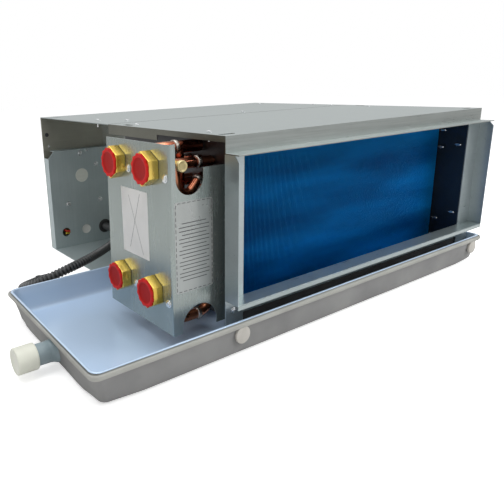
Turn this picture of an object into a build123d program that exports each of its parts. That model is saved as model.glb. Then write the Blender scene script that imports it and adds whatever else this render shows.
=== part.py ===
from build123d import *
import os
from math import atan, degrees, radians, sqrt, tan

os.makedirs("parts", exist_ok=True)

# Ducted fan coil unit with a four pipe water coil, a drain pan and a twin blower.
# Millimetres. X runs along the unit to the right, Y to the back, Z up.
# The origin is at the middle of the underside of the whole unit.

# Driving dimensions of the casing
casing_length = 545.0
casing_depth = 524.0
overall_height = 254.0
sheet = 1.2
seam_from_front = 261.0
seam_gap = 0.5
top_band = 18.7
collar_depth = 21.5
collar_bottom_height = 64.5
band_height = 22.0
flange_left = 27.5
flange_right = 34.0
frame_return = 20.0
tab_corner = 7.0
skirt_tall = 14.0
skirt_low = 7.0
skirt_step_from_front = 133.0
rear_flange_width = 17.5
bay_length = 127.0
joint_gap = 0.3

# Hanger slots in the top sheets
slot_width = 8.0
slot_length = 22.0
slot_from_side = 15.5
slot_from_front = 16.0
slot_from_rear = 35.0
seam_slot_from_side = 11.0
seam_slot_from_front = 222.0

# Water coil
coil_setback = 45.0
tube_rows = 3
tubes_high = 8
row_pitch = 22.0
coil_top_drop = 22.0
tube_radius = 4.76
tube_clearance = 0.05
coil_base = 32.0
fin_groove_pitch = 9.6
fin_groove_width = 3.2
fin_groove_depth = 4.0
tube_stub = 3.0
end_plate_margin = 8.0
end_plate_notch = 14.0

# Water connections and the bracket that carries them
bracket_reach = 64.0
bracket_front = 15.0
bracket_depth = 143.0
bracket_taper = 9.0
bracket_drop = 5.0
bracket_base = 32.0
leg_step_drop = 33.0
window_left = 8.0
window_radius = 18.7
window_drop = 61.0
arch_left = 13.0
arch_radius = 25.0
arch_height = 63.0
union_front_y = 51.5
union_spacing = 70.0
union_upper_drop = 32.5
union_lower_height = 77.5
union_flats = 34.0
union_length = 12.4
union_bore = 12.1
union_bore_depth = 9.0
union_neck = 11.0
union_neck_length = 14.0
header_radius = 8.0
header_offset = 8.0
header_overrun = 12.0
pipe_elbow = 12.0
heating_pipe_radius = 6.4
heating_loop_width = 25.0
heating_loop_height = 33.0
cap_flange_radius = 17.6
cap_flange_thickness = 2.2
cap_rim_width = 3.4
cap_rim_depth = 1.2
cap_plug_length = 7.0
cap_clearance = 0.08

# Air vent on the front upper pipe
vent_from_bracket = 31.0
vent_radius = 5.2
vent_length = 12.0
vent_knob_radius = 5.8
vent_knob_length = 6.0
vent_stem_radius = 2.0
vent_stem_length = 6.0

# Drain pan with its foam jacket
pan_height = 44.0
pan_sheet = 1.2
foam = 8.0
foam_gap = 0.3
pan_left_reach = 181.5
pan_right_reach = 3.5
pan_front_reach = 17.5
pan_rear_from_front = 243.0
pan_corner = 18.0
pan_draft = 2.5
pan_lip = 3.0
foam_reach = 4.0
foam_lip = 2.5
foam_lip_height = 6.0
foam_edge = 8.0
spigot_from_front = 90.0
spigot_height = 22.0
spigot_radius = 12.5
spigot_bore = 10.0
spigot_length = 24.0
spigot_inside = 1.5
drain_cap_radius = 15.4
drain_cap_length = 24.0
drain_cap_wall = 2.4
drain_cap_stand_off = 14.0
plug_radius = 10.7
plug_thickness = 3.0
plug_height = 27.0
plug_left_from_side = 8.0
plug_right_from_side = 20.0

# Twin blower
fan_from_seam = 115.0
fan_below_middle = 14.0
motor_room = 112.8
housing_margin = 12.0
scroll_room = 47.0
scroll_step = 9.0
scroll_duct = 20.0
inlet_inset = 22.0
inlet_ring = 4.0
impeller_gap = 7.0
impeller_ring = 7.0
impeller_hub = 12.0
hub_length = 30.0
ring_thickness = 3.0
blade_count = 30
blade_chord = 10.0
blade_thickness = 1.4
blade_angle = 35.0
shaft_radius = 5.0
running_clearance = 0.05
motor_radius = 45.0
motor_length = 84.0
motor_edge = 4.0
motor_boss = 16.0
motor_boss_length = 5.0
saddle_thickness = 3.0
saddle_width = 66.0
saddle_drop = 14.0
shaft_inset = 4.0

# Control box at the rear of the open bay
box_from_rear = 21.0
box_height = 191.0
box_side_height = 178.0
box_corner = 12.0
box_length = 125.0
wire_hole_radius = 8.5
wire_hole_height = 32.0
wire_hole_from_side = 24.5
key_hole_radius = 9.5
key_hole_from_side = 68.0
key_hole_height = 31.0
grommet_from_side = 109.5
grommet_height = 30.0
grommet_hole = 12.0
grommet_radius = 14.0
grommet_flange = 2.5
knock_out_from_side = 66.0
knock_out_height = 140.0
knock_out_radius = 13.3
knock_out_thickness = 0.8
wire_radius = 1.6
wire_spacing = 5.0
wire_elbow = 4.5
wire_inside = 8.0
terminal_from_side = 30.0
terminal_length = 70.0
terminal_height = 26.0
terminal_depth = 14.0
terminal_low = 92.0
terminal_pitch = 11.0
terminal_count = 6
capacitor_from_side = 36.0
capacitor_length = 52.0
capacitor_height = 30.0
capacitor_depth = 15.0
capacitor_low = 50.0

# Return air filter behind the casing
filter_side_room = 34.0
filter_height = 196.0
filter_frame_width = 12.0
filter_thickness = 9.0
filter_mesh_thickness = 2.0
filter_clearance = 0.4
rail_wall = 1.5
rail_depth = 8.0
filter_from_side = 15.0
mouth_inset = 7.0
filter_tab = 12.0
mesh_pitch = 24.0
mesh_bar = 1.6

# Screws, placed from the nearer side and the front of the casing, or down from its top
screw_radius = 1.6
screw_head_radius = 3.6
screw_head_height = 1.6
screw_length = 11.0
bracket_screw_length = 5.0
box_screw_length = 6.0
foot_screw_from_side = 12.0
foot_screw_height = 49.0
foot_hole_from_side = 9.0
rear_flange_hole_drop = 33.0
top_screws_front_left = [(17, 49), (20, 214)]
top_screws_front_right = [(25, 193)]
top_screws_rear_left = [(54, 298), (30, 351)]
top_screws_rear_right = [(258, 285), (36, 472), (20, 328), (25, 279)]
bracket_screw_places = [(23, 41), (99, 38.5), (23, 184), (92.5, 180)]
box_screw_places = [(65, 183), (98, 159), (33, 87), (102, 87)]

# Conduit that leaves the control box
conduit_radius = 7.0
conduit_end_radius = 8.4
conduit_end_length = 18.0
conduit_turn_share = 0.45
conduit_straight_y = 452.0
conduit_turns = [
    (88, 401, 37),
    (50, 353, 43),
    (6, 312, 47),
    (-44, 275, 50),
    (-94, 258, 47),
    (-130, 276, 36),
    (-141, 312, 22),
    (-124, 343, 11.4),
    (-97, 351, 10.4),
]

# Places worked out from the driving dimensions
overall_left = pan_left_reach + pan_lip + foam_lip + drain_cap_stand_off + drain_cap_length
overall_right = pan_right_reach + pan_lip + foam_lip
left = (overall_left - casing_length - overall_right) / 2
right = left + casing_length
rail_reach = filter_thickness + 2 * filter_clearance + rail_wall
front = (pan_front_reach + pan_lip + foam_lip - casing_depth - rail_reach) / 2
rear = front + casing_depth
top = overall_height
seam = front + seam_from_front
collar_bottom = collar_bottom_height
band_bottom = collar_bottom - band_height
pan_floor = foam + pan_sheet
pan_left = left - pan_left_reach
pan_right = right + pan_right_reach
pan_front = front - pan_front_reach
pan_rear = front + pan_rear_from_front
pan_mid = ((pan_left + pan_right) / 2, (pan_front + pan_rear) / 2)
pan_size = (pan_right - pan_left, pan_rear - pan_front)
plate_left = left + flange_left
plate_right = right - flange_right
bracket_x = left - bracket_reach
bracket_y = front + bracket_front
front_screw_places = [(left + x, front + y) for x, y in top_screws_front_left]
front_screw_places += [(right - x, front + y) for x, y in top_screws_front_right]
rear_screw_places = [(left + x, front + y) for x, y in top_screws_rear_left]
rear_screw_places += [(right - x, front + y) for x, y in top_screws_rear_right]
tube_pitch = (overall_height - coil_base - coil_top_drop) / tubes_high
fan_height = overall_height / 2 - fan_below_middle
scroll_inner = overall_height / 2 - scroll_room
scroll_inlet = scroll_inner - inlet_inset
impeller_radius = scroll_inner - impeller_gap
scroll_width = (casing_length - bay_length - sheet - 2 * housing_margin - motor_room) / 2
impeller_width = scroll_width - 2 * impeller_gap
filter_length = casing_length - bay_length - filter_side_room
mesh_columns = int((filter_length - 2 * filter_frame_width) // mesh_pitch)
mesh_rows = int((filter_height - 2 * filter_frame_width) // mesh_pitch)


def keep(piece, name):
    """Label a finished sub-part and write it to its own file."""
    piece.part.label = name
    export_step(piece.part, "parts/" + name + ".step")


def slab(x, y, z, mode=Mode.ADD):
    """A plain block between two values on each axis, in the open part."""
    with Locations(((x[0] + x[1]) / 2, (y[0] + y[1]) / 2, (z[0] + z[1]) / 2)):
        Box(x[1] - x[0], y[1] - y[0], z[1] - z[0], mode=mode)


# Top sheets, with the discharge collar's upper lip folded from the front one
hanger_places = [
    (left + slot_from_side, front + slot_from_front),
    (right - slot_from_side, front + slot_from_front),
    (left + slot_from_side, rear - slot_from_rear),
    (right - slot_from_side, rear - slot_from_rear),
]
seam_slot_places = [
    (left + seam_slot_from_side, front + seam_slot_from_front),
    (right - seam_slot_from_side, front + seam_slot_from_front),
]

with BuildPart() as top_panel_front:
    with BuildSketch(Plane.YZ.offset(left)):
        with BuildLine():
            Polyline(
                (seam - seam_gap / 2, top - sheet),
                (front + sheet, top - sheet),
                (front + sheet, top - top_band - sheet),
                (front - collar_depth, top - top_band - sheet),
                (front - collar_depth, top - top_band),
                (front, top - top_band),
                (front, top),
                (seam - seam_gap / 2, top),
                close=True,
            )
        make_face()
    extrude(amount=casing_length)
    for x in ((left, left + sheet), (right - sheet, right)):
        slab(x, (front + skirt_step_from_front, seam - seam_gap / 2), (top - skirt_tall, top - sheet))
        slab(x, (front + sheet, front + skirt_step_from_front), (top - skirt_low, top - sheet))
    with BuildSketch(Plane.XY.offset(top)):
        with Locations(*hanger_places[:2]):
            SlotOverall(slot_length, slot_width)
        with Locations(*seam_slot_places):
            SlotOverall(slot_length, slot_width, rotation=90)
        with Locations(*front_screw_places):
            Circle(screw_radius)
    extrude(amount=-sheet, mode=Mode.SUBTRACT)
keep(top_panel_front, "top_panel_front")

with BuildPart() as top_panel_rear:
    slab((left, right), (seam + seam_gap / 2, rear), (top - sheet, top))
    with BuildSketch(Plane.XY.offset(top)):
        with Locations(*hanger_places[2:]):
            SlotOverall(slot_length, slot_width)
        with Locations(*rear_screw_places):
            Circle(screw_radius)
    extrude(amount=-sheet, mode=Mode.SUBTRACT)
keep(top_panel_rear, "top_panel_rear")

# Lower front rail: the band under the mouth and the collar's lower lip
with BuildPart() as front_rail:
    slab((plate_left, plate_right), (front, front + sheet), (band_bottom, collar_bottom))
    slab((left, right), (front - collar_depth, front), (collar_bottom - sheet, collar_bottom))
keep(front_rail, "front_rail")


def end_frame(outer, inner, toward, hole_from_outer, hole_radius):
    """Front flange with its collar tab, inner return and foot, at one end."""
    with BuildPart() as frame:
        slab(sorted((outer, inner)), (front, front + sheet), (pan_floor, top - top_band - sheet))
        slab(
            sorted((inner, inner - toward * sheet)),
            (front + sheet, front + frame_return),
            (pan_floor, top - top_band - sheet),
        )
        with BuildSketch(Plane.YZ.offset(min(outer, outer + toward * sheet))):
            with BuildLine():
                Polyline(
                    (front, collar_bottom),
                    (front - collar_depth, collar_bottom),
                    (front - collar_depth, top - top_band - sheet - tab_corner),
                    (front - collar_depth + tab_corner, top - top_band - sheet),
                    (front, top - top_band - sheet),
                    close=True,
                )
            make_face()
        extrude(amount=sheet)
        with BuildSketch(Plane.XZ.offset(-front)):
            with Locations((outer + toward * hole_from_outer, foot_screw_height)):
                Circle(hole_radius)
        extrude(amount=-sheet, mode=Mode.SUBTRACT)
    return frame


end_frame_left = end_frame(left, plate_left, 1, foot_screw_from_side, screw_radius)
keep(end_frame_left, "end_frame_left")
end_frame_right = end_frame(right, plate_right, -1, foot_hole_from_side, screw_head_radius)
keep(end_frame_right, "end_frame_right")

# Right side sheet, deeper behind the seam where the fan section begins
with BuildPart() as side_panel_right:
    with BuildSketch(Plane.YZ.offset(right - sheet)):
        with BuildLine():
            Polyline(
                (front + sheet, pan_height + sheet),
                (seam, pan_height + sheet),
                (seam, sheet),
                (rear - sheet, sheet),
                (rear - sheet, top - sheet),
                (seam, top - sheet),
                (seam, top - skirt_tall - joint_gap),
                (front + sheet, top - skirt_tall - joint_gap),
                close=True,
            )
        make_face()
    extrude(amount=sheet)
keep(side_panel_right, "side_panel_right")

# Water coil: fin pack, end plates, tubes and bends
coil_front = front + coil_setback
coil_rear = coil_front + tube_rows * row_pitch
coil_top = coil_base + tubes_high * tube_pitch
fins_left = plate_left + sheet
fins_right = plate_right - sheet
row_ys = [coil_front + row_pitch * (row + 0.5) for row in range(tube_rows)]
tube_zs = [coil_base + tube_pitch * (level + 0.5) for level in range(tubes_high)]
tube_places = [(y, z) for y in row_ys for z in tube_zs]
groove_count = int((fins_right - fins_left) / fin_groove_pitch) - 1

with BuildPart() as coil_fins:
    slab((fins_left, fins_right), (coil_front, coil_rear), (coil_base, coil_top))
    with BuildSketch(Plane.XY.offset(coil_base)):
        for face_y in (coil_front + fin_groove_depth / 2, coil_rear - fin_groove_depth / 2):
            with Locations(((fins_left + fins_right) / 2, face_y)):
                with GridLocations(fin_groove_pitch, 1, groove_count, 1):
                    Rectangle(fin_groove_width, fin_groove_depth)
    extrude(amount=coil_top - coil_base, mode=Mode.SUBTRACT)
    with BuildSketch(Plane.YZ.offset(fins_left)):
        with Locations(*tube_places):
            Circle(tube_radius + tube_clearance)
    extrude(amount=fins_right - fins_left, mode=Mode.SUBTRACT)
keep(coil_fins, "coil_fins")


def coil_end_plate(x):
    """Plate that carries the tubes and stands with its foot in the pan."""
    with BuildPart() as plate:
        with BuildSketch(Plane.YZ.offset(x)):
            with BuildLine():
                Polyline(
                    (front + sheet, pan_floor),
                    (front + frame_return, pan_floor),
                    (front + frame_return, coil_base - end_plate_margin),
                    (pan_rear - end_plate_notch, coil_base - end_plate_margin),
                    (pan_rear - end_plate_notch, pan_height + sheet),
                    (seam, pan_height + sheet),
                    (seam, top - sheet),
                    (front + sheet, top - sheet),
                    close=True,
                )
            make_face()
            with Locations(*tube_places):
                Circle(tube_radius + tube_clearance, mode=Mode.SUBTRACT)
        extrude(amount=sheet)
    return plate


coil_end_plate_left = coil_end_plate(plate_left)
keep(coil_end_plate_left, "coil_end_plate_left")
coil_end_plate_right = coil_end_plate(fins_right)
keep(coil_end_plate_right, "coil_end_plate_right")

stub_left = plate_left - tube_stub
stub_right = plate_right + tube_stub

with BuildPart() as coil_tubes:
    with BuildSketch(Plane.YZ.offset(stub_left)):
        with Locations(*tube_places):
            Circle(tube_radius)
    extrude(amount=stub_right - stub_left)
keep(coil_tubes, "coil_tubes")


def bend(start, end, side):
    """Half ring that joins the ends of two tubes, bulging to one side."""
    middle = (Vector(*start) + Vector(*end)) / 2
    reach = (Vector(*start) - Vector(*end)).length / 2
    with BuildPart() as half_ring:
        with BuildLine() as path:
            ThreePointArc(start, middle + Vector(side * reach, 0, 0), end)
        with BuildSketch(Plane(origin=start, z_dir=(side, 0, 0))):
            Circle(tube_radius)
        sweep(path=path.line)
    return half_ring.part


right_pairs = [
    ((stub_right, y, low), (stub_right, y, high))
    for y in row_ys
    for low, high in zip(tube_zs[0::2], tube_zs[1::2])
]
left_pairs = [
    ((stub_left, row_ys[0], low), (stub_left, row_ys[0], high))
    for low, high in zip(tube_zs[1:-1:2], tube_zs[2:-1:2])
]
left_pairs += [((stub_left, row_ys[1], z), (stub_left, row_ys[2], z)) for z in tube_zs[1::2]]

with BuildPart() as hairpin_bends:
    for start, end in right_pairs:
        add(bend(start, end, 1))
keep(hairpin_bends, "hairpin_bends")

with BuildPart() as return_bends:
    for start, end in left_pairs:
        add(bend(start, end, -1))
keep(return_bends, "return_bends")

# Bracket that carries the four water connections
bracket_top = top - bracket_drop
window_bottom = top - window_drop
arch_top = arch_height
leg_right = plate_left - sheet
union_ys = [front + union_front_y, front + union_front_y + union_spacing]
union_zs = [union_lower_height, top - union_upper_drop]

with BuildPart() as connection_bracket:
    with BuildSketch(Plane.YZ.offset(bracket_x)):
        with BuildLine():
            Polyline(
                (bracket_y, bracket_base),
                (bracket_y + bracket_depth, bracket_base),
                (bracket_y + bracket_depth - bracket_taper, bracket_top),
                (bracket_y, bracket_top),
                close=True,
            )
        make_face()
        with Locations(*[(y, z) for y in union_ys for z in union_zs]):
            Circle(union_neck + tube_clearance, mode=Mode.SUBTRACT)
        with Locations(*[(front + y, top - drop) for y, drop in bracket_screw_places]):
            Circle(screw_radius, mode=Mode.SUBTRACT)
    extrude(amount=sheet)
    with BuildSketch(Plane.XZ.offset(-bracket_y)):
        with BuildLine():
            Polyline(
                (bracket_x, bracket_base),
                (leg_right, bracket_base),
                (leg_right, top - leg_step_drop),
                (bracket_x + window_left + window_radius, top - leg_step_drop),
                (bracket_x + window_left + window_radius, bracket_top),
                (bracket_x, bracket_top),
                close=True,
            )
        make_face()
        with Locations((bracket_x + window_left + window_radius, window_bottom + window_radius)):
            Circle(window_radius, mode=Mode.SUBTRACT)
            with Locations((0, top / 2)):
                Rectangle(2 * window_radius, top, mode=Mode.SUBTRACT)
        with Locations((bracket_x + arch_left + arch_radius, arch_top - arch_radius)):
            Circle(arch_radius, mode=Mode.SUBTRACT)
            with Locations((0, -top / 2)):
                Rectangle(2 * arch_radius, top, mode=Mode.SUBTRACT)
    extrude(amount=-sheet)
    bend_edge = connection_bracket.edges().filter_by(Axis.Z).group_by(Axis.X)[0].sort_by(Axis.Y)[0]
    fillet(bend_edge, sheet * 2)
keep(connection_bracket, "connection_bracket")


def union(y, z):
    """Short brass hexagon socket with its neck through the bracket."""
    with BuildPart() as fitting:
        with BuildSketch(Plane.YZ.offset(bracket_x)):
            with Locations((y, z)):
                RegularPolygon(union_flats / 2, 6, major_radius=False, rotation=30)
        extrude(amount=-union_length)
        with BuildSketch(Plane.YZ.offset(bracket_x)):
            with Locations((y, z)):
                Circle(union_neck)
        extrude(amount=union_neck_length)
        with BuildSketch(Plane.YZ.offset(bracket_x - union_length)):
            with Locations((y, z)):
                Circle(union_bore)
        extrude(amount=union_bore_depth, mode=Mode.SUBTRACT)
    return fitting


def union_cap(y, z):
    """Plastic shipping cap: a rimmed disc on a plug that sits in the socket."""
    face = union_length + cap_flange_thickness
    plug = union_bore - cap_clearance
    with BuildPart() as cap:
        with BuildSketch(Plane.XY.offset(z)):
            with BuildLine():
                Polyline(
                    (bracket_x - face + cap_rim_depth, y),
                    (bracket_x - face + cap_rim_depth, y + cap_flange_radius - cap_rim_width),
                    (bracket_x - face, y + cap_flange_radius - cap_rim_width),
                    (bracket_x - face, y + cap_flange_radius - cap_rim_depth),
                    (bracket_x - face + cap_rim_depth, y + cap_flange_radius),
                    (bracket_x - union_length, y + cap_flange_radius),
                    (bracket_x - union_length, y + plug),
                    (bracket_x - union_length + cap_plug_length, y + plug),
                    (bracket_x - union_length + cap_plug_length, y),
                    close=True,
                )
            make_face()
        revolve(axis=Axis((0, y, z), (1, 0, 0)))
    return cap


for depth_name, y in zip(("front", "rear"), union_ys):
    for height_name, z in zip(("lower", "upper"), union_zs):
        place = height_name + "_" + depth_name
        keep(union(y, z), "union_" + place)
        keep(union_cap(y, z), "cap_" + place)

# Copper headers and pipes between the coil and the connections
neck_end = bracket_x + union_neck_length
header_x = left - header_offset


def feed(points, radius):
    """Round pipe along straight runs joined by elbows."""
    with BuildPart() as pipe:
        with BuildLine() as path:
            FilletPolyline(*points, radius=pipe_elbow)
        with BuildSketch(Plane(origin=points[0], z_dir=Vector(*points[1]) - Vector(*points[0]))):
            Circle(radius)
        sweep(path=path.line)
    return pipe.part


def header(row_y, stub_zs, feed_points):
    """Upright header with a stub to each of its tubes and a pipe to its union."""
    low = stub_zs[0] - header_overrun
    high = max(stub_zs[-1], feed_points[-1][2]) + header_overrun
    with BuildPart() as manifold:
        with BuildSketch(Plane.XY.offset(low)):
            with Locations((header_x, row_y)):
                Circle(header_radius)
        extrude(amount=high - low)
        with BuildSketch(Plane.YZ.offset(header_x)):
            with Locations(*[(row_y, z) for z in stub_zs]):
                Circle(tube_radius)
        extrude(amount=stub_left - header_x)
        add(feed(feed_points, header_radius))
    return manifold


lower_z, upper_z = union_zs
front_y, rear_y = union_ys
entry_x = neck_end + pipe_elbow

cooling_supply_header = header(
    row_ys[2],
    tube_zs[0::2],
    [(neck_end, rear_y, lower_z), (entry_x, rear_y, lower_z), (header_x, row_ys[2], lower_z)],
)
keep(cooling_supply_header, "cooling_supply_header")
cooling_return_header = header(
    row_ys[1],
    tube_zs[0::2],
    [(neck_end, rear_y, upper_z), (entry_x, rear_y, upper_z), (header_x, row_ys[1], upper_z)],
)
keep(cooling_return_header, "cooling_return_header")


def heating_pipe(union_z, tube_z, loop_z):
    """Looped pipe from a front union to one tube of the front row."""
    entry = header_x - heating_loop_width
    with BuildPart() as pipe:
        add(
            feed(
                [
                    (neck_end, front_y, union_z),
                    (entry, front_y, union_z),
                    (entry, front_y, loop_z),
                    (entry + heating_loop_width, front_y, loop_z),
                    (entry + heating_loop_width, row_ys[0], tube_z),
                    (stub_left, row_ys[0], tube_z),
                ],
                heating_pipe_radius,
            )
        )
    return pipe


heating_supply_pipe = heating_pipe(lower_z, tube_zs[0], lower_z + heating_loop_height)
keep(heating_supply_pipe, "heating_supply_pipe")
heating_return_pipe = heating_pipe(upper_z, tube_zs[-1], upper_z - heating_loop_height)
keep(heating_return_pipe, "heating_return_pipe")

# Air vent on the front upper pipe
vent_x = bracket_x + vent_from_bracket
vent_front = front_y - vent_length

with BuildPart() as air_vent_body:
    with BuildSketch(Plane.XZ.offset(-front_y)):
        with Locations((vent_x, upper_z)):
            Circle(vent_radius)
    extrude(amount=vent_length)
    with BuildSketch(Plane.XZ.offset(-vent_front)):
        with Locations((vent_x, upper_z)):
            Circle(vent_stem_radius + running_clearance)
    extrude(amount=-vent_stem_length, mode=Mode.SUBTRACT)
    add(heating_return_pipe.part, mode=Mode.SUBTRACT)
keep(air_vent_body, "air_vent_body")

with BuildPart() as air_vent_knob:
    with BuildSketch(Plane.XZ.offset(-vent_front)):
        with Locations((vent_x, upper_z)):
            RegularPolygon(vent_knob_radius, 12)
    extrude(amount=vent_knob_length)
    with BuildSketch(Plane.XZ.offset(-vent_front)):
        with Locations((vent_x, upper_z)):
            Circle(vent_stem_radius)
    extrude(amount=-vent_stem_length + running_clearance)
keep(air_vent_knob, "air_vent_knob")

# Drain pan pressed from sheet, in a foam jacket
pan_taper = degrees(atan(pan_draft / (pan_height - foam)))
spigot_y = front + spigot_from_front
plug_xs = (left + plug_left_from_side, right - plug_right_from_side)


def tub(grow, ceiling, floor, mode=Mode.ADD):
    """Tapered block with rounded corners, grown sideways from the rim."""
    shrink = (pan_height - ceiling) * tan(radians(pan_taper))
    with BuildSketch(Plane.XY.offset(ceiling)) as outline:
        with Locations(pan_mid):
            RectangleRounded(
                pan_size[0] + 2 * (grow - shrink),
                pan_size[1] + 2 * (grow - shrink),
                pan_corner + grow - shrink,
            )
    extrude(outline.sketch, amount=floor - ceiling, taper=pan_taper, mode=mode)


def rim(grow, ceiling, depth):
    """Straight rounded band at the top of the pan."""
    with BuildSketch(Plane.XY.offset(ceiling)) as outline:
        with Locations(pan_mid):
            RectangleRounded(pan_size[0] + 2 * grow, pan_size[1] + 2 * grow, pan_corner + grow)
    extrude(outline.sketch, amount=-depth)


def spigot_hole():
    """Round hole for the spigot through the left wall, in the open part."""
    with BuildSketch(Plane.YZ.offset(pan_left - spigot_length)) as hole:
        with Locations((spigot_y, spigot_height)):
            Circle(spigot_radius + tube_clearance)
    extrude(hole.sketch, amount=spigot_length + pan_corner, mode=Mode.SUBTRACT)


with BuildPart() as drain_pan:
    tub(pan_sheet, pan_height, foam)
    rim(pan_lip, pan_height, pan_sheet)
    tub(0, pan_height, pan_floor, Mode.SUBTRACT)
    spigot_hole()
keep(drain_pan, "drain_pan")

with BuildPart() as pan_insulation:
    tub(foam_reach, pan_height - pan_sheet, 0)
    fillet(pan_insulation.edges().group_by(Axis.Z)[0], foam_edge)
    rim(pan_lip + foam_lip, pan_height - pan_sheet, foam_lip_height)
    tub(pan_sheet + foam_gap, pan_height, foam, Mode.SUBTRACT)
    spigot_hole()
    with BuildSketch(Plane.XZ.offset(-pan_front + pan_lip + foam_lip)):
        with Locations(*[(x, plug_height) for x in plug_xs]):
            Circle(plug_radius + tube_clearance)
    extrude(amount=-pan_corner, mode=Mode.SUBTRACT)
keep(pan_insulation, "pan_insulation")

with BuildPart() as pan_plugs:
    with BuildSketch(Plane.XZ.offset(-pan_front + pan_sheet + 2 * foam_gap)):
        with Locations(*[(x, plug_height) for x in plug_xs]):
            Circle(plug_radius)
    extrude(amount=plug_thickness)
keep(pan_plugs, "pan_plugs")

drain_cap_start = pan_left - pan_lip - foam_lip - drain_cap_stand_off
drain_cap_end = drain_cap_start - drain_cap_length
spigot_end = drain_cap_end + drain_cap_wall

with BuildPart() as drain_spigot:
    with BuildSketch(Plane.YZ.offset(spigot_end)):
        with Locations((spigot_y, spigot_height)):
            Circle(spigot_radius)
            Circle(spigot_bore, mode=Mode.SUBTRACT)
    extrude(amount=pan_left + pan_draft + spigot_inside - spigot_end)
keep(drain_spigot, "drain_spigot")

with BuildPart() as drain_cap:
    with BuildSketch(Plane.YZ.offset(drain_cap_end)):
        with Locations((spigot_y, spigot_height)):
            Circle(drain_cap_radius)
    extrude(amount=drain_cap_length)
    chamfer(drain_cap.edges().group_by(Axis.X)[0], drain_cap_wall / 3)
    with BuildSketch(Plane.YZ.offset(spigot_end)):
        with Locations((spigot_y, spigot_height)):
            Circle(spigot_radius + cap_clearance)
    extrude(amount=drain_cap_length, mode=Mode.SUBTRACT)
keep(drain_cap, "drain_cap")

# Fan section: deck, floor sheet, rear sheet and the wall of the open bay
fan_y = seam + fan_from_seam
bay_right = left + bay_length
housing_starts = (bay_right + housing_margin, right - sheet - housing_margin - scroll_width)
duct_top = fan_height + scroll_inner + 3 * scroll_step
duct_bottom = fan_height + scroll_duct

with BuildPart() as fan_deck:
    slab((plate_left, right - sheet), (seam, seam + sheet), (sheet, top - sheet))
    for start in housing_starts:
        slab(
            (start - joint_gap, start + scroll_width + joint_gap),
            (seam, seam + sheet),
            (duct_bottom - joint_gap, duct_top + joint_gap),
            Mode.SUBTRACT,
        )
keep(fan_deck, "fan_deck")

with BuildPart() as bottom_panel:
    slab((left, right), (seam, rear), (0, sheet))
keep(bottom_panel, "bottom_panel")

filter_mid = (bay_right + right) / 2
filter_low = (top - filter_height) / 2
filter_high = filter_low + filter_height
mouth_x = (filter_mid - filter_length / 2 + mouth_inset, filter_mid + filter_length / 2 - mouth_inset)
mouth_z = (filter_low + mouth_inset, filter_high - mouth_inset)

with BuildPart() as rear_panel:
    slab((left, right), (rear - sheet, rear), (sheet, top - sheet))
    slab(
        (left, left + rear_flange_width),
        (rear - 2 * sheet, rear - sheet),
        (box_height + sheet + joint_gap, top - sheet),
    )
    slab(mouth_x, (rear - sheet, rear), mouth_z, Mode.SUBTRACT)
    with BuildSketch(Plane.XZ.offset(-rear)):
        with Locations((left + rear_flange_width / 2, top - rear_flange_hole_drop)):
            Circle(screw_head_radius)
    extrude(amount=2 * sheet, mode=Mode.SUBTRACT)
keep(rear_panel, "rear_panel")

with BuildPart() as bay_partition:
    slab((bay_right, bay_right + sheet), (seam + sheet, rear - sheet), (sheet, top - sheet))
keep(bay_partition, "bay_partition")


def scroll_outline(inset):
    """Closed outline of the blower scroll and its duct, drawn inwards by inset."""
    base = scroll_inner - inset
    low = duct_bottom + inset
    rise = low - fan_height
    entry = (fan_y - sqrt(base**2 - rise**2), low)
    bottom = (fan_y, fan_height - base)
    back = (fan_y + base + scroll_step, fan_height + scroll_step)
    crown = (fan_y - scroll_step, duct_top - inset)
    with BuildLine() as outline:
        Line((seam, duct_top - inset), (seam, low))
        Line((seam, low), entry)
        ThreePointArc(entry, (fan_y - base / sqrt(2), fan_height - base / sqrt(2)), bottom)
        turn = base + scroll_step
        RadiusArc(bottom, back, -turn)
        RadiusArc(back, crown, -(turn + scroll_step))
        Line(crown, (seam, duct_top - inset))
    return outline.line


def fan_housing(start):
    """Sheet scroll with an inlet ring in each side, open at its duct."""
    with BuildPart() as housing:
        with BuildSketch(Plane.YZ.offset(start)):
            add(scroll_outline(0))
            make_face()
        extrude(amount=scroll_width)
        with BuildSketch(Plane.YZ.offset(start + sheet)):
            add(scroll_outline(sheet))
            make_face()
        extrude(amount=scroll_width - 2 * sheet, mode=Mode.SUBTRACT)
        for face, reach in ((start, -inlet_ring), (start + scroll_width, inlet_ring)):
            with BuildSketch(Plane.YZ.offset(face)):
                with Locations((fan_y, fan_height)):
                    Circle(scroll_inlet + inlet_ring)
            extrude(amount=reach)
        with BuildSketch(Plane.YZ.offset(start - inlet_ring)):
            with Locations((fan_y, fan_height)):
                Circle(scroll_inlet)
        extrude(amount=sheet + inlet_ring, mode=Mode.SUBTRACT)
        with BuildSketch(Plane.YZ.offset(start + scroll_width + inlet_ring)):
            with Locations((fan_y, fan_height)):
                Circle(scroll_inlet)
        extrude(amount=-(sheet + inlet_ring), mode=Mode.SUBTRACT)
    return housing


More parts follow.
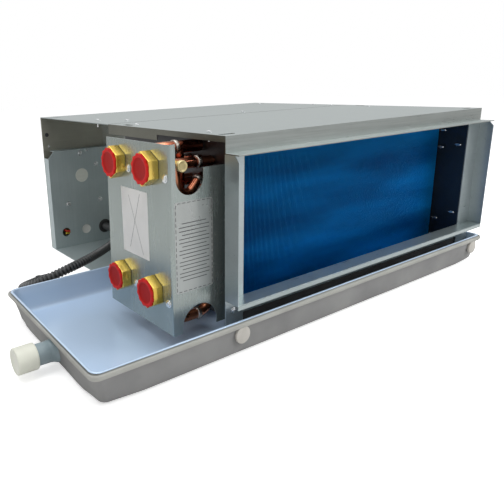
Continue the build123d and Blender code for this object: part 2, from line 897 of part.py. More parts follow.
def impeller(start):
    """Squirrel cage wheel: two end rings, a middle disc, a hub and blades."""
    low = start + (scroll_width - impeller_width) / 2
    middle = low + impeller_width / 2
    with BuildPart() as wheel:
        with BuildSketch(Plane.YZ.offset(low)):
            with PolarLocations(impeller_radius - impeller_ring, blade_count):
                Rectangle(blade_chord, blade_thickness, rotation=blade_angle)
        extrude(amount=impeller_width)
        for ring_x in (low, low + impeller_width - ring_thickness):
            with BuildSketch(Plane.YZ.offset(ring_x)):
                Circle(impeller_radius)
                Circle(impeller_radius - 2 * impeller_ring, mode=Mode.SUBTRACT)
            extrude(amount=ring_thickness)
        with BuildSketch(Plane.YZ.offset(middle - ring_thickness / 2)):
            Circle(impeller_radius - impeller_ring)
        extrude(amount=ring_thickness)
        with BuildSketch(Plane.YZ.offset(middle - hub_length / 2)):
            Circle(impeller_hub)
        extrude(amount=hub_length)
        with BuildSketch(Plane.YZ.offset(low)):
            Circle(shaft_radius)
        extrude(amount=impeller_width, mode=Mode.SUBTRACT)
    return wheel.part.moved(Location((0, fan_y, fan_height)))


for side, start in zip(("left", "right"), housing_starts):
    keep(fan_housing(start), "fan_housing_" + side)
    with BuildPart() as wheel_in_place:
        add(impeller(start))
    keep(wheel_in_place, "impeller_" + side)

motor_mid = (housing_starts[0] + housing_starts[1] + scroll_width) / 2

with BuildPart() as fan_motor:
    with BuildSketch(Plane.YZ.offset(motor_mid - motor_length / 2)):
        with Locations((fan_y, fan_height)):
            Circle(motor_radius)
    extrude(amount=motor_length)
    chamfer(fan_motor.edges(), motor_edge)
    with BuildSketch(Plane.YZ.offset(motor_mid - motor_length / 2 - motor_boss_length)):
        with Locations((fan_y, fan_height)):
            Circle(motor_boss)
    extrude(amount=motor_length + 2 * motor_boss_length)
    with BuildSketch(Plane.YZ.offset(motor_mid - motor_length / 2 - motor_boss_length)):
        with Locations((fan_y, fan_height)):
            Circle(shaft_radius + running_clearance)
    extrude(amount=motor_length + 2 * motor_boss_length, mode=Mode.SUBTRACT)
keep(fan_motor, "fan_motor")

with BuildPart() as fan_shaft:
    with BuildSketch(Plane.YZ.offset(housing_starts[0] + shaft_inset)):
        with Locations((fan_y, fan_height)):
            Circle(shaft_radius)
    extrude(amount=housing_starts[1] + scroll_width - housing_starts[0] - 2 * shaft_inset)
keep(fan_shaft, "fan_shaft")

with BuildPart() as motor_saddle:
    slab(
        (motor_mid - saddle_width / 2, motor_mid + saddle_width / 2),
        (fan_y - motor_radius, fan_y + motor_radius),
        (sheet, sheet + saddle_thickness),
    )
    for x in (motor_mid - saddle_width / 2, motor_mid + saddle_width / 2 - saddle_thickness):
        slab(
            (x, x + saddle_thickness),
            (fan_y - motor_radius, fan_y + motor_radius),
            (sheet, fan_height - saddle_drop),
        )
    with BuildSketch(Plane.YZ.offset(motor_mid - saddle_width / 2)):
        with Locations((fan_y, fan_height)):
            Circle(motor_radius)
    extrude(amount=saddle_width, mode=Mode.SUBTRACT)
keep(motor_saddle, "motor_saddle")

# Control box at the back of the open bay
box_front = rear - box_from_rear
box_right = left + box_length
wire_hole = (left + wire_hole_from_side, wire_hole_height)
key_hole = (left + key_hole_from_side, key_hole_height)
grommet_place = (left + grommet_from_side, grommet_height)

with BuildPart() as control_box:
    with BuildSketch(Plane.XZ.offset(-box_front)):
        with BuildLine():
            Polyline(
                (left, sheet),
                (box_right, sheet),
                (box_right, box_height),
                (left + box_corner, box_height),
                (left, box_side_height),
                close=True,
            )
        make_face()
        with Locations(wire_hole):
            Circle(wire_hole_radius, mode=Mode.SUBTRACT)
        with Locations(key_hole):
            Circle(key_hole_radius, mode=Mode.SUBTRACT)
        with Locations(grommet_place):
            Circle(grommet_hole, mode=Mode.SUBTRACT)
        with Locations(*[(left + x, z) for x, z in box_screw_places]):
            Circle(screw_radius, mode=Mode.SUBTRACT)
    extrude(amount=-sheet)
    slab((left, left + sheet), (box_front + sheet, rear - sheet), (sheet, box_side_height))
    slab((box_right - sheet, box_right), (box_front + sheet, rear - sheet), (sheet, box_height))
    slab((left + box_corner, box_right), (box_front + sheet, rear - sheet), (box_height - sheet, box_height))
keep(control_box, "control_box")

with BuildPart() as knock_out:
    with BuildSketch(Plane.XZ.offset(-box_front)):
        with Locations((left + knock_out_from_side, knock_out_height)):
            Circle(knock_out_radius)
    extrude(amount=knock_out_thickness)
keep(knock_out, "knock_out_disc")

with BuildPart() as cable_grommet:
    with BuildSketch(Plane.XZ.offset(-box_front + grommet_flange)):
        with Locations(grommet_place):
            Circle(grommet_radius)
    extrude(amount=-grommet_flange)
    with BuildSketch(Plane.XZ.offset(-box_front)):
        with Locations(grommet_place):
            Circle(grommet_hole)
    extrude(amount=-sheet)
    with BuildSketch(Plane.XZ.offset(-box_front - sheet)):
        with Locations(grommet_place):
            Circle(grommet_radius)
    extrude(amount=-grommet_flange)
keep(cable_grommet, "cable_grommet")

with BuildPart() as terminal_block:
    slab(
        (left + terminal_from_side, left + terminal_from_side + terminal_length),
        (rear - sheet - terminal_depth, rear - sheet),
        (terminal_low, terminal_low + terminal_height),
    )
    with BuildSketch(Plane.XZ.offset(-(rear - sheet - terminal_depth))):
        with Locations((left + terminal_from_side + terminal_length / 2, terminal_low + terminal_height / 2)):
            with GridLocations(terminal_pitch, terminal_height / 2, terminal_count, 2):
                Rectangle(terminal_pitch / 2, terminal_height / 4)
    extrude(amount=-terminal_depth / 3, mode=Mode.SUBTRACT)
keep(terminal_block, "terminal_block")

with BuildPart() as motor_capacitor:
    slab(
        (left + capacitor_from_side, left + capacitor_from_side + capacitor_length),
        (rear - sheet - capacitor_depth, rear - sheet),
        (capacitor_low, capacitor_low + capacitor_height),
    )
    fillet(motor_capacitor.edges().filter_by(Axis.X), wire_radius)
keep(motor_capacitor, "motor_capacitor")


def wire_loop(lift):
    """Wire that comes out of the small hole and goes back in at the large one."""
    z = wire_hole_height + lift
    start = (wire_hole[0], box_front + wire_inside, z)
    end = (key_hole[0], box_front + wire_inside, z)
    wire_y = box_front - wire_radius - joint_gap
    path_points = [start, (wire_hole[0], wire_y, z), (key_hole[0], wire_y, z), end]
    with BuildPart() as wire:
        with BuildLine() as path:
            FilletPolyline(*path_points, radius=wire_elbow)
        with BuildSketch(Plane(origin=start, z_dir=(0, -1, 0))):
            Circle(wire_radius)
        sweep(path=path.line)
    return wire.part


with BuildPart() as box_wires:
    for lift in (-wire_spacing / 2, wire_spacing / 2):
        add(wire_loop(lift))
keep(box_wires, "box_wires")

# Screws with round heads


def screw_set(places, direction, shank_length):
    """Screws with their heads on one sheet, pointing the same way."""
    with BuildPart() as screws:
        for place in places:
            with BuildSketch(Plane(origin=place, z_dir=direction)):
                Circle(screw_head_radius)
            extrude(amount=screw_head_height)
            with BuildSketch(Plane(origin=place, z_dir=direction)):
                Circle(screw_radius)
            extrude(amount=-shank_length)
    return screws


top_screw_places = [(x, y, top) for x, y in front_screw_places + rear_screw_places]
keep(screw_set(top_screw_places, (0, 0, 1), screw_length), "top_screws")
keep(
    screw_set(
        [(bracket_x, front + y, top - drop) for y, drop in bracket_screw_places],
        (-1, 0, 0),
        bracket_screw_length,
    ),
    "bracket_screws",
)
keep(
    screw_set([(left + x, box_front, z) for x, z in box_screw_places], (0, -1, 0), box_screw_length),
    "box_screws",
)
keep(
    screw_set([(left + foot_screw_from_side, front, foot_screw_height)], (0, -1, 0), box_screw_length),
    "foot_screw",
)

# Return air filter in two rails behind the casing
filter_left = filter_mid - filter_length / 2
filter_right = filter_mid + filter_length / 2
lip_y = (rear + filter_thickness + 2 * filter_clearance, rear + rail_reach)


def filter_rail(edge, toward):
    """Channel that holds one long edge of the filter, with a stop at its left end."""
    with BuildPart() as rail:
        base = edge - toward * filter_clearance
        outer = base - toward * rail_wall
        slab((filter_left - rail_wall, filter_right), (rear, rear + rail_reach), sorted((base, outer)))
        slab((filter_left - rail_wall, filter_right), lip_y, sorted((outer, base + toward * rail_depth)))
        slab(
            (filter_left - rail_wall - filter_clearance, filter_left - filter_clearance),
            (rear, rear + rail_reach),
            sorted((outer, base + toward * rail_depth)),
        )
    return rail


filter_rail_bottom = filter_rail(filter_low, 1)
keep(filter_rail_bottom, "filter_rail_bottom")
filter_rail_top = filter_rail(filter_high, -1)
keep(filter_rail_top, "filter_rail_top")

filter_y = (rear + filter_clearance, rear + filter_clearance + filter_thickness)
filter_inner_x = (filter_left + filter_frame_width, filter_right - filter_frame_width)
filter_inner_z = (filter_low + filter_frame_width, filter_high - filter_frame_width)

with BuildPart() as filter_frame:
    slab((filter_left, filter_right), filter_y, (filter_low, filter_high))
    slab(filter_inner_x, filter_y, filter_inner_z, Mode.SUBTRACT)
    slab(
        (filter_right, filter_right + filter_tab),
        (filter_y[0], filter_y[0] + filter_mesh_thickness),
        (top / 2 - filter_tab, top / 2 + filter_tab),
    )
keep(filter_frame, "filter_frame")

mesh_mid = (filter_y[0] + filter_y[1]) / 2
mesh_y = (mesh_mid - filter_mesh_thickness / 2, mesh_mid + filter_mesh_thickness / 2)

with BuildPart() as filter_mesh:
    slab(filter_inner_x, mesh_y, filter_inner_z)
    with BuildSketch(Plane.XZ.offset(-mesh_y[0])):
        with Locations((filter_mid, top / 2)):
            with GridLocations(mesh_pitch, mesh_pitch, mesh_columns, mesh_rows):
                Rectangle(mesh_pitch - mesh_bar, mesh_pitch - mesh_bar)
    extrude(amount=-filter_mesh_thickness, mode=Mode.SUBTRACT)
keep(filter_mesh, "filter_mesh")

# Conduit from the grommet, behind the pan and down to the floor
conduit_route = [
    (grommet_place[0], box_front - grommet_flange, grommet_height),
    (grommet_place[0], front + conduit_straight_y, grommet_height),
]
conduit_route += [(left + x, front + y, z) for x, y, z in conduit_turns]
conduit_points = [Vector(*point) for point in conduit_route]
conduit_radii = []
for before, corner, after in zip(conduit_points, conduit_points[1:], conduit_points[2:]):
    turn = (corner - before).get_angle(after - corner)
    shorter = min((corner - before).length, (after - corner).length)
    conduit_radii.append(conduit_turn_share * shorter / tan(radians(turn / 2)))

with BuildPart() as conduit:
    with BuildLine() as conduit_path:
        FilletPolyline(*conduit_points, radius=conduit_radii)
    with BuildSketch(Plane(origin=conduit_points[0], z_dir=conduit_points[1] - conduit_points[0])):
        Circle(conduit_radius)
    sweep(path=conduit_path.line)
keep(conduit, "conduit")
conduit_length = sum(edge.length for edge in conduit_path.edges())
print("conduit radii", [round(radius) for radius in conduit_radii])
print("conduit length", round(conduit_length), "volume", round(conduit.part.volume))

end_direction = (conduit_points[-1] - conduit_points[-2]).normalized()
with BuildPart() as conduit_end:
    with BuildSketch(Plane(origin=conduit_points[-1], z_dir=end_direction)):
        Circle(conduit_end_radius)
    extrude(amount=conduit_end_length)
keep(conduit_end, "conduit_end")
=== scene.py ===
# %% [markdown]
# # Dressing a ducted fan coil unit
# A fan coil unit is a flat sheet metal box that hides above a ceiling. Air goes in at the
# back, two blowers push it through a water coil, and it leaves by the wide mouth in front.
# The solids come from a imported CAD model, so this lesson only loads them, gives them
# finishes, and models the pieces that need more shape than the solids have.

import math

import bpy
from mathutils import Matrix, Vector


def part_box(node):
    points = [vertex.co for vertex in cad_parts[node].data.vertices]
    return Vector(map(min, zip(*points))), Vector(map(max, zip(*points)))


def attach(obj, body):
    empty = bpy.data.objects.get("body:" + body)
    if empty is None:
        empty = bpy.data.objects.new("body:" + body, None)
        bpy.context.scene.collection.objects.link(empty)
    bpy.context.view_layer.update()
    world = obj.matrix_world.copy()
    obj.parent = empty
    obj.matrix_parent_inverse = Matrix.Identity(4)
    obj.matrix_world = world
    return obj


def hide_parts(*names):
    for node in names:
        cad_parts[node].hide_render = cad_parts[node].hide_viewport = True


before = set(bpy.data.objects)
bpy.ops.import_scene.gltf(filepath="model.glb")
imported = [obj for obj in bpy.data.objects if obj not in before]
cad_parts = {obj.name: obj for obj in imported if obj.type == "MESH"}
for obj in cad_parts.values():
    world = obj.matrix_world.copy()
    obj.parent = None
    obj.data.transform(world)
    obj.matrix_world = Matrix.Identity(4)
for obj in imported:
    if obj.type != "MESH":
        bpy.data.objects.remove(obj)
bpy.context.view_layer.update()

# %% [markdown]
# Every length below is in metres. The sizes repeat those of the CAD model, because a
# finished piece has to sit on the solids it belongs to. The casing's front left top corner
# is the place that most of them are measured from.

# %% Sizes shared by the pieces
CASING_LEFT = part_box("top_panel_front")[0][0]
CASING_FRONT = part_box("end_frame_left")[0][1] + 0.0215
CASING_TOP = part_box("top_panel_rear")[1][2]
print("casing corner", round(CASING_LEFT, 5), round(CASING_FRONT, 5), round(CASING_TOP, 5))


def at(x, y, height):
    """A point given in millimetres from the casing's front left corner and the floor."""
    return Vector((CASING_LEFT + x / 1000, CASING_FRONT + y / 1000, height / 1000))


# %% [markdown]
# The camera stands low at the front left, as a person who looks down at a unit on a
# bench. Its lens and its small shift were solved from the casing's straight edges.

# %% Camera
LENS = 37.69
LENS_SHIFT = (0.1762, -0.0486)
CAMERA_PLACE = at(-373.66, -432.5, 313.55)
camera_data = bpy.data.cameras.new("Bench camera")
camera = bpy.data.objects.new("Bench camera", camera_data)
bpy.context.scene.collection.objects.link(camera)
camera_data.sensor_width = 36
camera_data.lens = LENS
camera_data.shift_x, camera_data.shift_y = LENS_SHIFT
camera_right = Vector((0.82536, -0.56371, -0.03171))
camera_up = Vector((0.17698, 0.20497, 0.96263))
camera_back = Vector((-0.53615, -0.80013, 0.26894))
turn = Matrix((camera_right, camera_up, camera_back)).transposed()
camera.matrix_world = Matrix.Translation(CAMERA_PLACE) @ turn.to_4x4()
bpy.context.scene.camera = camera
print("camera at", [round(value, 3) for value in camera.location])
bpy.context.scene.view_settings.view_transform = "Standard"

# %% [markdown]
# The floor is one large pale sheet. The camera sees it as white, while the object gets
# light back from it at a plain level and leaves its shadow on it.

# %% Floor, world and lamps
FLOOR_LIFT = 0.55
WORLD_LEVELS = {"light": 0.48, "seen": 1.0, "reflected": 0.84}
LAMPS = [
    # name, place, target, size in metres, power in watts
    ("key_lamp", (1.45, -1.5, 1.35), (0.15, 0, 0.1), 1.3, 25),
    ("left_lamp", (-1.9, -1.0, 1.5), (-0.1, 0.1, 0.1), 1.4, 2.5),
    ("top_lamp", (-0.5, 0.0, 2.2), (-0.15, 0, 0.1), 1.7, 27),
]


def deselect():
    """Leave no object selected, because operators act on all that is."""
    if bpy.context.mode != "OBJECT":
        bpy.ops.object.mode_set(mode="OBJECT")
    bpy.ops.object.select_all(action="DESELECT")


def hold(piece):
    """Select one object alone and make it the active one."""
    deselect()
    piece.select_set(True)
    bpy.context.view_layer.objects.active = piece


def studio_floor():
    """A pale floor that catches the shadow."""
    deselect()
    bpy.ops.mesh.primitive_plane_add(size=12, location=(0, 0, -0.0005))
    floor = bpy.context.object
    floor.name = "studio_floor"
    paint = bpy.data.materials.new("Studio floor")
    paint.use_nodes = True
    shader = paint.node_tree.nodes["Principled BSDF"]
    shader.inputs["Base Color"].default_value = (0.9, 0.9, 0.9, 1)
    shader.inputs["Roughness"].default_value = 0.9
    shader.inputs["Emission Color"].default_value = (1, 1, 1, 1)
    paths = paint.node_tree.nodes.new("ShaderNodeLightPath")
    lift = paint.node_tree.nodes.new("ShaderNodeMath")
    lift.operation = "MULTIPLY"
    lift.inputs[1].default_value = FLOOR_LIFT
    paint.node_tree.links.new(paths.outputs["Is Camera Ray"], lift.inputs[0])
    paint.node_tree.links.new(lift.outputs[0], shader.inputs["Emission Strength"])
    floor.data.materials.append(paint)
    return floor


def studio_world(light, seen, reflected):
    """World light at a plain level, with its own level for the camera and for reflections."""
    world = bpy.data.worlds.new("Studio world")
    bpy.context.scene.world = world
    world.use_nodes = True
    nodes = world.node_tree.nodes
    links = world.node_tree.links
    nodes.clear()
    paths = nodes.new("ShaderNodeLightPath")
    back = nodes.new("ShaderNodeBackground")
    back.inputs["Color"].default_value = (1, 1, 1, 1)
    out = nodes.new("ShaderNodeOutputWorld")
    level = None
    rays = (
        ("Is Glossy Ray", reflected), ("Is Transmission Ray", reflected), ("Is Camera Ray", seen),
    )
    for ray, value in rays:
        mix = nodes.new("ShaderNodeMix")
        mix.data_type = "FLOAT"
        mix.inputs["A"].default_value = light
        mix.inputs["B"].default_value = value
        links.new(paths.outputs[ray], mix.inputs["Factor"])
        if level is not None:
            links.new(level, mix.inputs["A"])
        level = mix.outputs["Result"]
    links.new(level, back.inputs["Strength"])
    links.new(back.outputs[0], out.inputs["Surface"])
    return world


def softbox(name, place, aim, size, power):
    """A square lamp that points from its place to a target."""
    lamp = bpy.data.lights.new(name, "AREA")
    lamp.size = size
    lamp.energy = power
    holder = bpy.data.objects.new(name, lamp)
    bpy.context.scene.collection.objects.link(holder)
    holder.location = place
    holder.rotation_euler = (Vector(aim) - Vector(place)).to_track_quat("-Z", "Y").to_euler()
    return holder


studio_floor()
studio_world(**WORLD_LEVELS)
for lamp in LAMPS:
    softbox(*lamp)

# %% [markdown]
# Galvanised sheet isn't one flat grey. The zinc is rolled, so fine lines run along it,
# and it cooled in patches that are a little lighter or darker. Both are made once, in a node
# group, and each metal gives it its own patch share and grain direction. The group puts out
# plain values, and the shader stays in the material.

# %% Node group for the rolled grain


def group_with(title, inputs, outputs):
    """A shader node group with named sockets, ready for its inner nodes."""
    group = bpy.data.node_groups.new(title, "ShaderNodeTree")
    for name, kind, value in inputs:
        socket = group.interface.new_socket(name=name, in_out="INPUT", socket_type=kind)
        if value is not None:
            socket.default_value = value
    for name, kind in outputs:
        group.interface.new_socket(name=name, in_out="OUTPUT", socket_type=kind)
    group.nodes.new("NodeGroupInput").name = "In"
    group.nodes.new("NodeGroupOutput").name = "Out"
    return group


def noise_node(tree, vector, scale, detail, roughness=0.5):
    """A noise texture that reads the given vector."""
    noise = tree.nodes.new("ShaderNodeTexNoise")
    noise.inputs["Scale"].default_value = scale
    noise.inputs["Detail"].default_value = detail
    noise.inputs["Roughness"].default_value = roughness
    tree.links.new(vector, noise.inputs["Vector"])
    return noise.outputs["Fac"]


def spread(tree, value, low, high, to_low=0.0, to_high=1.0):
    """Stretch a value from one range to another and clamp it."""
    change = tree.nodes.new("ShaderNodeMapRange")
    change.inputs["From Min"].default_value = low
    change.inputs["From Max"].default_value = high
    change.inputs["To Min"].default_value = to_low
    change.inputs["To Max"].default_value = to_high
    tree.links.new(value, change.inputs["Value"])
    return change.outputs["Result"]


def combine(tree, operation, first, second):
    """A math node between two values, either of which may be a plain number."""
    node = tree.nodes.new("ShaderNodeMath")
    node.operation = operation
    for index, item in enumerate((first, second)):
        if isinstance(item, (int, float)):
            node.inputs[index].default_value = item
        else:
            tree.links.new(item, node.inputs[index])
    return node.outputs[0]


rolled_grain = group_with(
    "Rolled grain",
    [("Vector", "NodeSocketVector", None), ("Patch share", "NodeSocketFloat", 0.6)],
    [("Tone", "NodeSocketFloat"), ("Lines", "NodeSocketFloat")],
)
inside = rolled_grain.nodes["In"].outputs
stretch = rolled_grain.nodes.new("ShaderNodeMapping")
stretch.inputs["Scale"].default_value = (2.0, 90.0, 90.0)
rolled_grain.links.new(inside["Vector"], stretch.inputs["Vector"])
line_noise = noise_node(rolled_grain, stretch.outputs[0], 6.0, 3.0)
line_value = spread(rolled_grain, line_noise, 0.3, 0.7)
patch_noise = noise_node(rolled_grain, inside["Vector"], 26.0, 4.0, 0.6)
patch_value = spread(rolled_grain, patch_noise, 0.3, 0.7)
patch_part = combine(rolled_grain, "MULTIPLY", patch_value, inside["Patch share"])
line_share = combine(rolled_grain, "SUBTRACT", 1.0, inside["Patch share"])
line_part = combine(rolled_grain, "MULTIPLY", line_value, line_share)
tone = combine(rolled_grain, "ADD", patch_part, line_part)
rolled_grain.links.new(tone, rolled_grain.nodes["Out"].inputs["Tone"])
rolled_grain.links.new(line_value, rolled_grain.nodes["Out"].inputs["Lines"])
print("group", rolled_grain.name, "nodes", len(rolled_grain.nodes))

# %% [markdown]
# The second group is for moulded and cast things. It gives a cloudy tone and a fine
# pebble that stands for the skin of plastic, foam or rubber.

# %% Node group for a moulded skin
moulded_skin = group_with(
    "Moulded skin",
    [
        ("Vector", "NodeSocketVector", None),
        ("Cloud size", "NodeSocketFloat", 12.0),
        ("Pebble size", "NodeSocketFloat", 900.0),
    ],
    [("Cloud", "NodeSocketFloat"), ("Pebble", "NodeSocketFloat")],
)
inside = moulded_skin.nodes["In"].outputs
cloud = moulded_skin.nodes.new("ShaderNodeTexNoise")
cloud.inputs["Detail"].default_value = 4.0
pebble = moulded_skin.nodes.new("ShaderNodeTexNoise")
pebble.inputs["Detail"].default_value = 2.0
for texture, size in ((cloud, "Cloud size"), (pebble, "Pebble size")):
    moulded_skin.links.new(inside["Vector"], texture.inputs["Vector"])
    moulded_skin.links.new(inside[size], texture.inputs["Scale"])
cloud_value = spread(moulded_skin, cloud.outputs["Fac"], 0.3, 0.7)
moulded_skin.links.new(cloud_value, moulded_skin.nodes["Out"].inputs["Cloud"])
moulded_skin.links.new(pebble.outputs["Fac"], moulded_skin.nodes["Out"].inputs["Pebble"])
print("group", moulded_skin.name, "nodes", len(moulded_skin.nodes))

# %% [markdown]
# A material here has three changing channels: colour between two near shades, roughness
# between two values, and a faint bump. Metallic and the rest are plain numbers on the
# shader's own sockets, so they survive an export.

# %% Helpers that build materials
SHEET_RELIEF = 0.15
BUMP_DEPTH = 0.0002


def blank_material(title):
    """A material with its Principled shader and Object coordinates."""
    paint = bpy.data.materials.new(title)
    paint.use_nodes = True
    tree = paint.node_tree
    coordinates = tree.nodes.new("ShaderNodeTexCoord")
    return paint, tree, tree.nodes["Principled BSDF"], coordinates.outputs["Object"]


def two_shades(tree, value, dark, light, socket):
    """Blend two colours by a value into a colour socket."""
    mix = tree.nodes.new("ShaderNodeMix")
    mix.data_type = "RGBA"
    mix.inputs["A"].default_value = (*dark, 1)
    mix.inputs["B"].default_value = (*light, 1)
    tree.links.new(value, mix.inputs["Factor"])
    tree.links.new(mix.outputs["Result"], socket)
    return mix


def bump(tree, height, shader, strength, distance):
    """A bump that reads a height and feeds the shader's normal."""
    node = tree.nodes.new("ShaderNodeBump")
    node.inputs["Strength"].default_value = strength
    node.inputs["Distance"].default_value = distance
    tree.links.new(height, node.inputs["Height"])
    tree.links.new(node.outputs["Normal"], shader.inputs["Normal"])


def sheet_metal(
    title, dark, light, smooth, rough, metallic=1.0, patch_share=0.6, turn_grain=(0, 0, 0)
):
    """Rolled metal sheet with its grain turned as the piece needs."""
    paint, tree, shader, vector = blank_material(title)
    mapping = tree.nodes.new("ShaderNodeMapping")
    mapping.inputs["Rotation"].default_value = turn_grain
    tree.links.new(vector, mapping.inputs["Vector"])
    grain = tree.nodes.new("ShaderNodeGroup")
    grain.node_tree = rolled_grain
    grain.inputs["Patch share"].default_value = patch_share
    tree.links.new(mapping.outputs[0], grain.inputs["Vector"])
    two_shades(tree, grain.outputs["Tone"], dark, light, shader.inputs["Base Color"])
    roughness = spread(tree, grain.outputs["Tone"], 0, 1, smooth, rough)
    tree.links.new(roughness, shader.inputs["Roughness"])
    bump(tree, grain.outputs["Lines"], shader, SHEET_RELIEF, BUMP_DEPTH)
    shader.inputs["Metallic"].default_value = metallic
    return paint


def moulded(title, dark, light, smooth, rough, cloud=12.0, pebble=900.0, relief=0.2, metallic=0.0):
    """Plastic, foam, rubber or cast metal with a cloudy tone and a pebbled skin."""
    paint, tree, shader, vector = blank_material(title)
    skin = tree.nodes.new("ShaderNodeGroup")
    skin.node_tree = moulded_skin
    skin.inputs["Cloud size"].default_value = cloud
    skin.inputs["Pebble size"].default_value = pebble
    tree.links.new(vector, skin.inputs["Vector"])
    two_shades(tree, skin.outputs["Cloud"], dark, light, shader.inputs["Base Color"])
    roughness = spread(tree, skin.outputs["Cloud"], 0, 1, smooth, rough)
    tree.links.new(roughness, shader.inputs["Roughness"])
    bump(tree, skin.outputs["Pebble"], shader, relief, BUMP_DEPTH)
    shader.inputs["Metallic"].default_value = metallic
    return paint


def dress(paint, *node_names):
    """Give a finish to CAD nodes, which keep their shape."""
    for name in node_names:
        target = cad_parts[name]
        for slot in target.material_slots:
            slot.material = paint


# %% [markdown]
# Bright galvanised steel covers most of the unit. The bracket is the shiniest sheet: the
# brass fittings are mirrored in it, so its roughness is low. The top sheets are duller.

# %% Metals
bright_zinc = sheet_metal(
    "Bright zinc sheet", (0.31, 0.35, 0.36), (0.38, 0.42, 0.43), 0.26, 0.36, metallic=0.85
)
mirror_zinc = sheet_metal(
    "Glossy zinc bracket", (0.285, 0.325, 0.31), (0.345, 0.385, 0.37),
    0.2, 0.3, metallic=0.74, patch_share=0.5, turn_grain=(0, math.pi / 2, 0)
)
top_zinc = sheet_metal(
    "Pale zinc top", (0.31, 0.35, 0.35), (0.37, 0.41, 0.405),
    0.36, 0.48, metallic=0.9, patch_share=0.35,
)
rear_zinc = sheet_metal(
    "Rear zinc sheet", (0.34, 0.33, 0.28), (0.42, 0.41, 0.35), 0.3, 0.42, metallic=0.55
)
rail_zinc = sheet_metal(
    "Zinc lower rail", (0.33, 0.39, 0.39), (0.41, 0.47, 0.47),
    0.26, 0.36, metallic=0.7, patch_share=0.5,
)
# The front band is a darker copy of the pale top zinc: painted shade on the vertical face.
band_shade_zinc = sheet_metal(
    "Zinc front band in painted shade", (0.24, 0.26, 0.25), (0.30, 0.32, 0.31),
    0.26, 0.36, metallic=0.9, patch_share=0.3,
)
blue_shade_zinc = sheet_metal(
    "Coil end in blue shade", (0.018, 0.028, 0.042), (0.032, 0.046, 0.066),
    0.3, 0.4, metallic=0.6, patch_share=0.5
)
frame_zinc = sheet_metal(
    "Zinc end frames", (0.34, 0.385, 0.395), (0.41, 0.455, 0.465), 0.26, 0.36, metallic=0.74
)
dark_zinc = sheet_metal(
    "Coil end in shade", (0.05, 0.05, 0.052), (0.09, 0.09, 0.092), 0.35, 0.5
)
shaded_zinc = sheet_metal(
    "Zinc skirt in shade", (0.13, 0.13, 0.11), (0.18, 0.18, 0.15), 0.3, 0.42
)
# A lighter, more diffuse zinc for the control box and floor sheet: zinc colour with painted light
# that lifts the shaded bay.
lifted_box_zinc = sheet_metal(
    "Control box zinc with painted light", (0.40, 0.47, 0.48), (0.47, 0.54, 0.55),
    0.32, 0.45, metallic=0.4, patch_share=0.5, turn_grain=(0, math.pi / 2, 0)
)
# The knock-out disc is far paler than the box: a painted reflection, the glare of the slightly
# pushed disc.
disc_glare_zinc = sheet_metal(
    "Knock-out disc zinc with painted glare", (0.70, 0.72, 0.65), (0.80, 0.82, 0.75),
    0.3, 0.4, metallic=0.15, patch_share=0.5
)
inner_zinc = sheet_metal(
    "Plain zinc inside", (0.42, 0.44, 0.42), (0.50, 0.52, 0.49), 0.3, 0.45, metallic=0.7
)
copper = moulded(
    "Tarnished copper", (0.26, 0.060, 0.035), (0.66, 0.27, 0.15), 0.16, 0.34, 28.0, 700.0, 0.06, 1.0
)
brass = moulded(
    "Machined brass", (0.70, 0.47, 0.085), (0.80, 0.56, 0.13), 0.2, 0.25, 30.0, 1200.0, 0.05, 0.9
)
pale_brass = moulded(
    "Pale brass", (0.66, 0.54, 0.26), (0.80, 0.68, 0.36), 0.3, 0.42, 90.0, 1200.0, 0.08, 0.6
)
plated_steel = moulded(
    "Plated screw steel", (0.62, 0.64, 0.65), (0.82, 0.83, 0.84),
    0.15, 0.3, 200.0, 1500.0, 0.05, 0.85,
)
solder = moulded(
    "Dull solder", (0.36, 0.31, 0.27), (0.60, 0.55, 0.50), 0.2, 0.36, 160.0, 900.0, 0.12, 1.0
)
motor_enamel = moulded(
    "Motor enamel", (0.03, 0.03, 0.035), (0.07, 0.07, 0.075), 0.4, 0.55, 40.0, 900.0, 0.3
)
print("materials so far", len(bpy.data.materials))

# %% [markdown]
# The rest is coated aluminium, painted pan steel, foam, plastic and rubber.

# %% Coatings, foam and plastics
fin_blue = moulded(
    "Blue coated fins", (0.0, 0.16, 0.46), (0.005, 0.40, 0.85), 0.3, 0.5, 10.0, 600.0, 0.1, 0.5
)
pan_blue = moulded(
    "Pale pan steel", (0.52, 0.67, 0.86), (0.60, 0.75, 0.94), 0.2, 0.24, 3.0, 700.0, 0.03, 0.15
)
jacket_foam = moulded(
    "Grey foam jacket", (0.205, 0.205, 0.205), (0.29, 0.29, 0.285), 0.75, 0.9, 14.0, 1100.0, 0.5
)
lip_foam = moulded(
    "Foam lip", (0.33, 0.33, 0.305), (0.45, 0.45, 0.42), 0.75, 0.9, 22.0, 1100.0, 0.5
)
plug_foam = moulded(
    "Foam plug", (0.46, 0.44, 0.40), (0.56, 0.54, 0.50), 0.75, 0.9, 60.0, 1300.0, 0.4
)
cap_red = moulded(
    "Red cap plastic", (0.52, 0.006, 0.005), (0.64, 0.010, 0.008), 0.5, 0.62, 60.0, 1300.0, 0.08
)
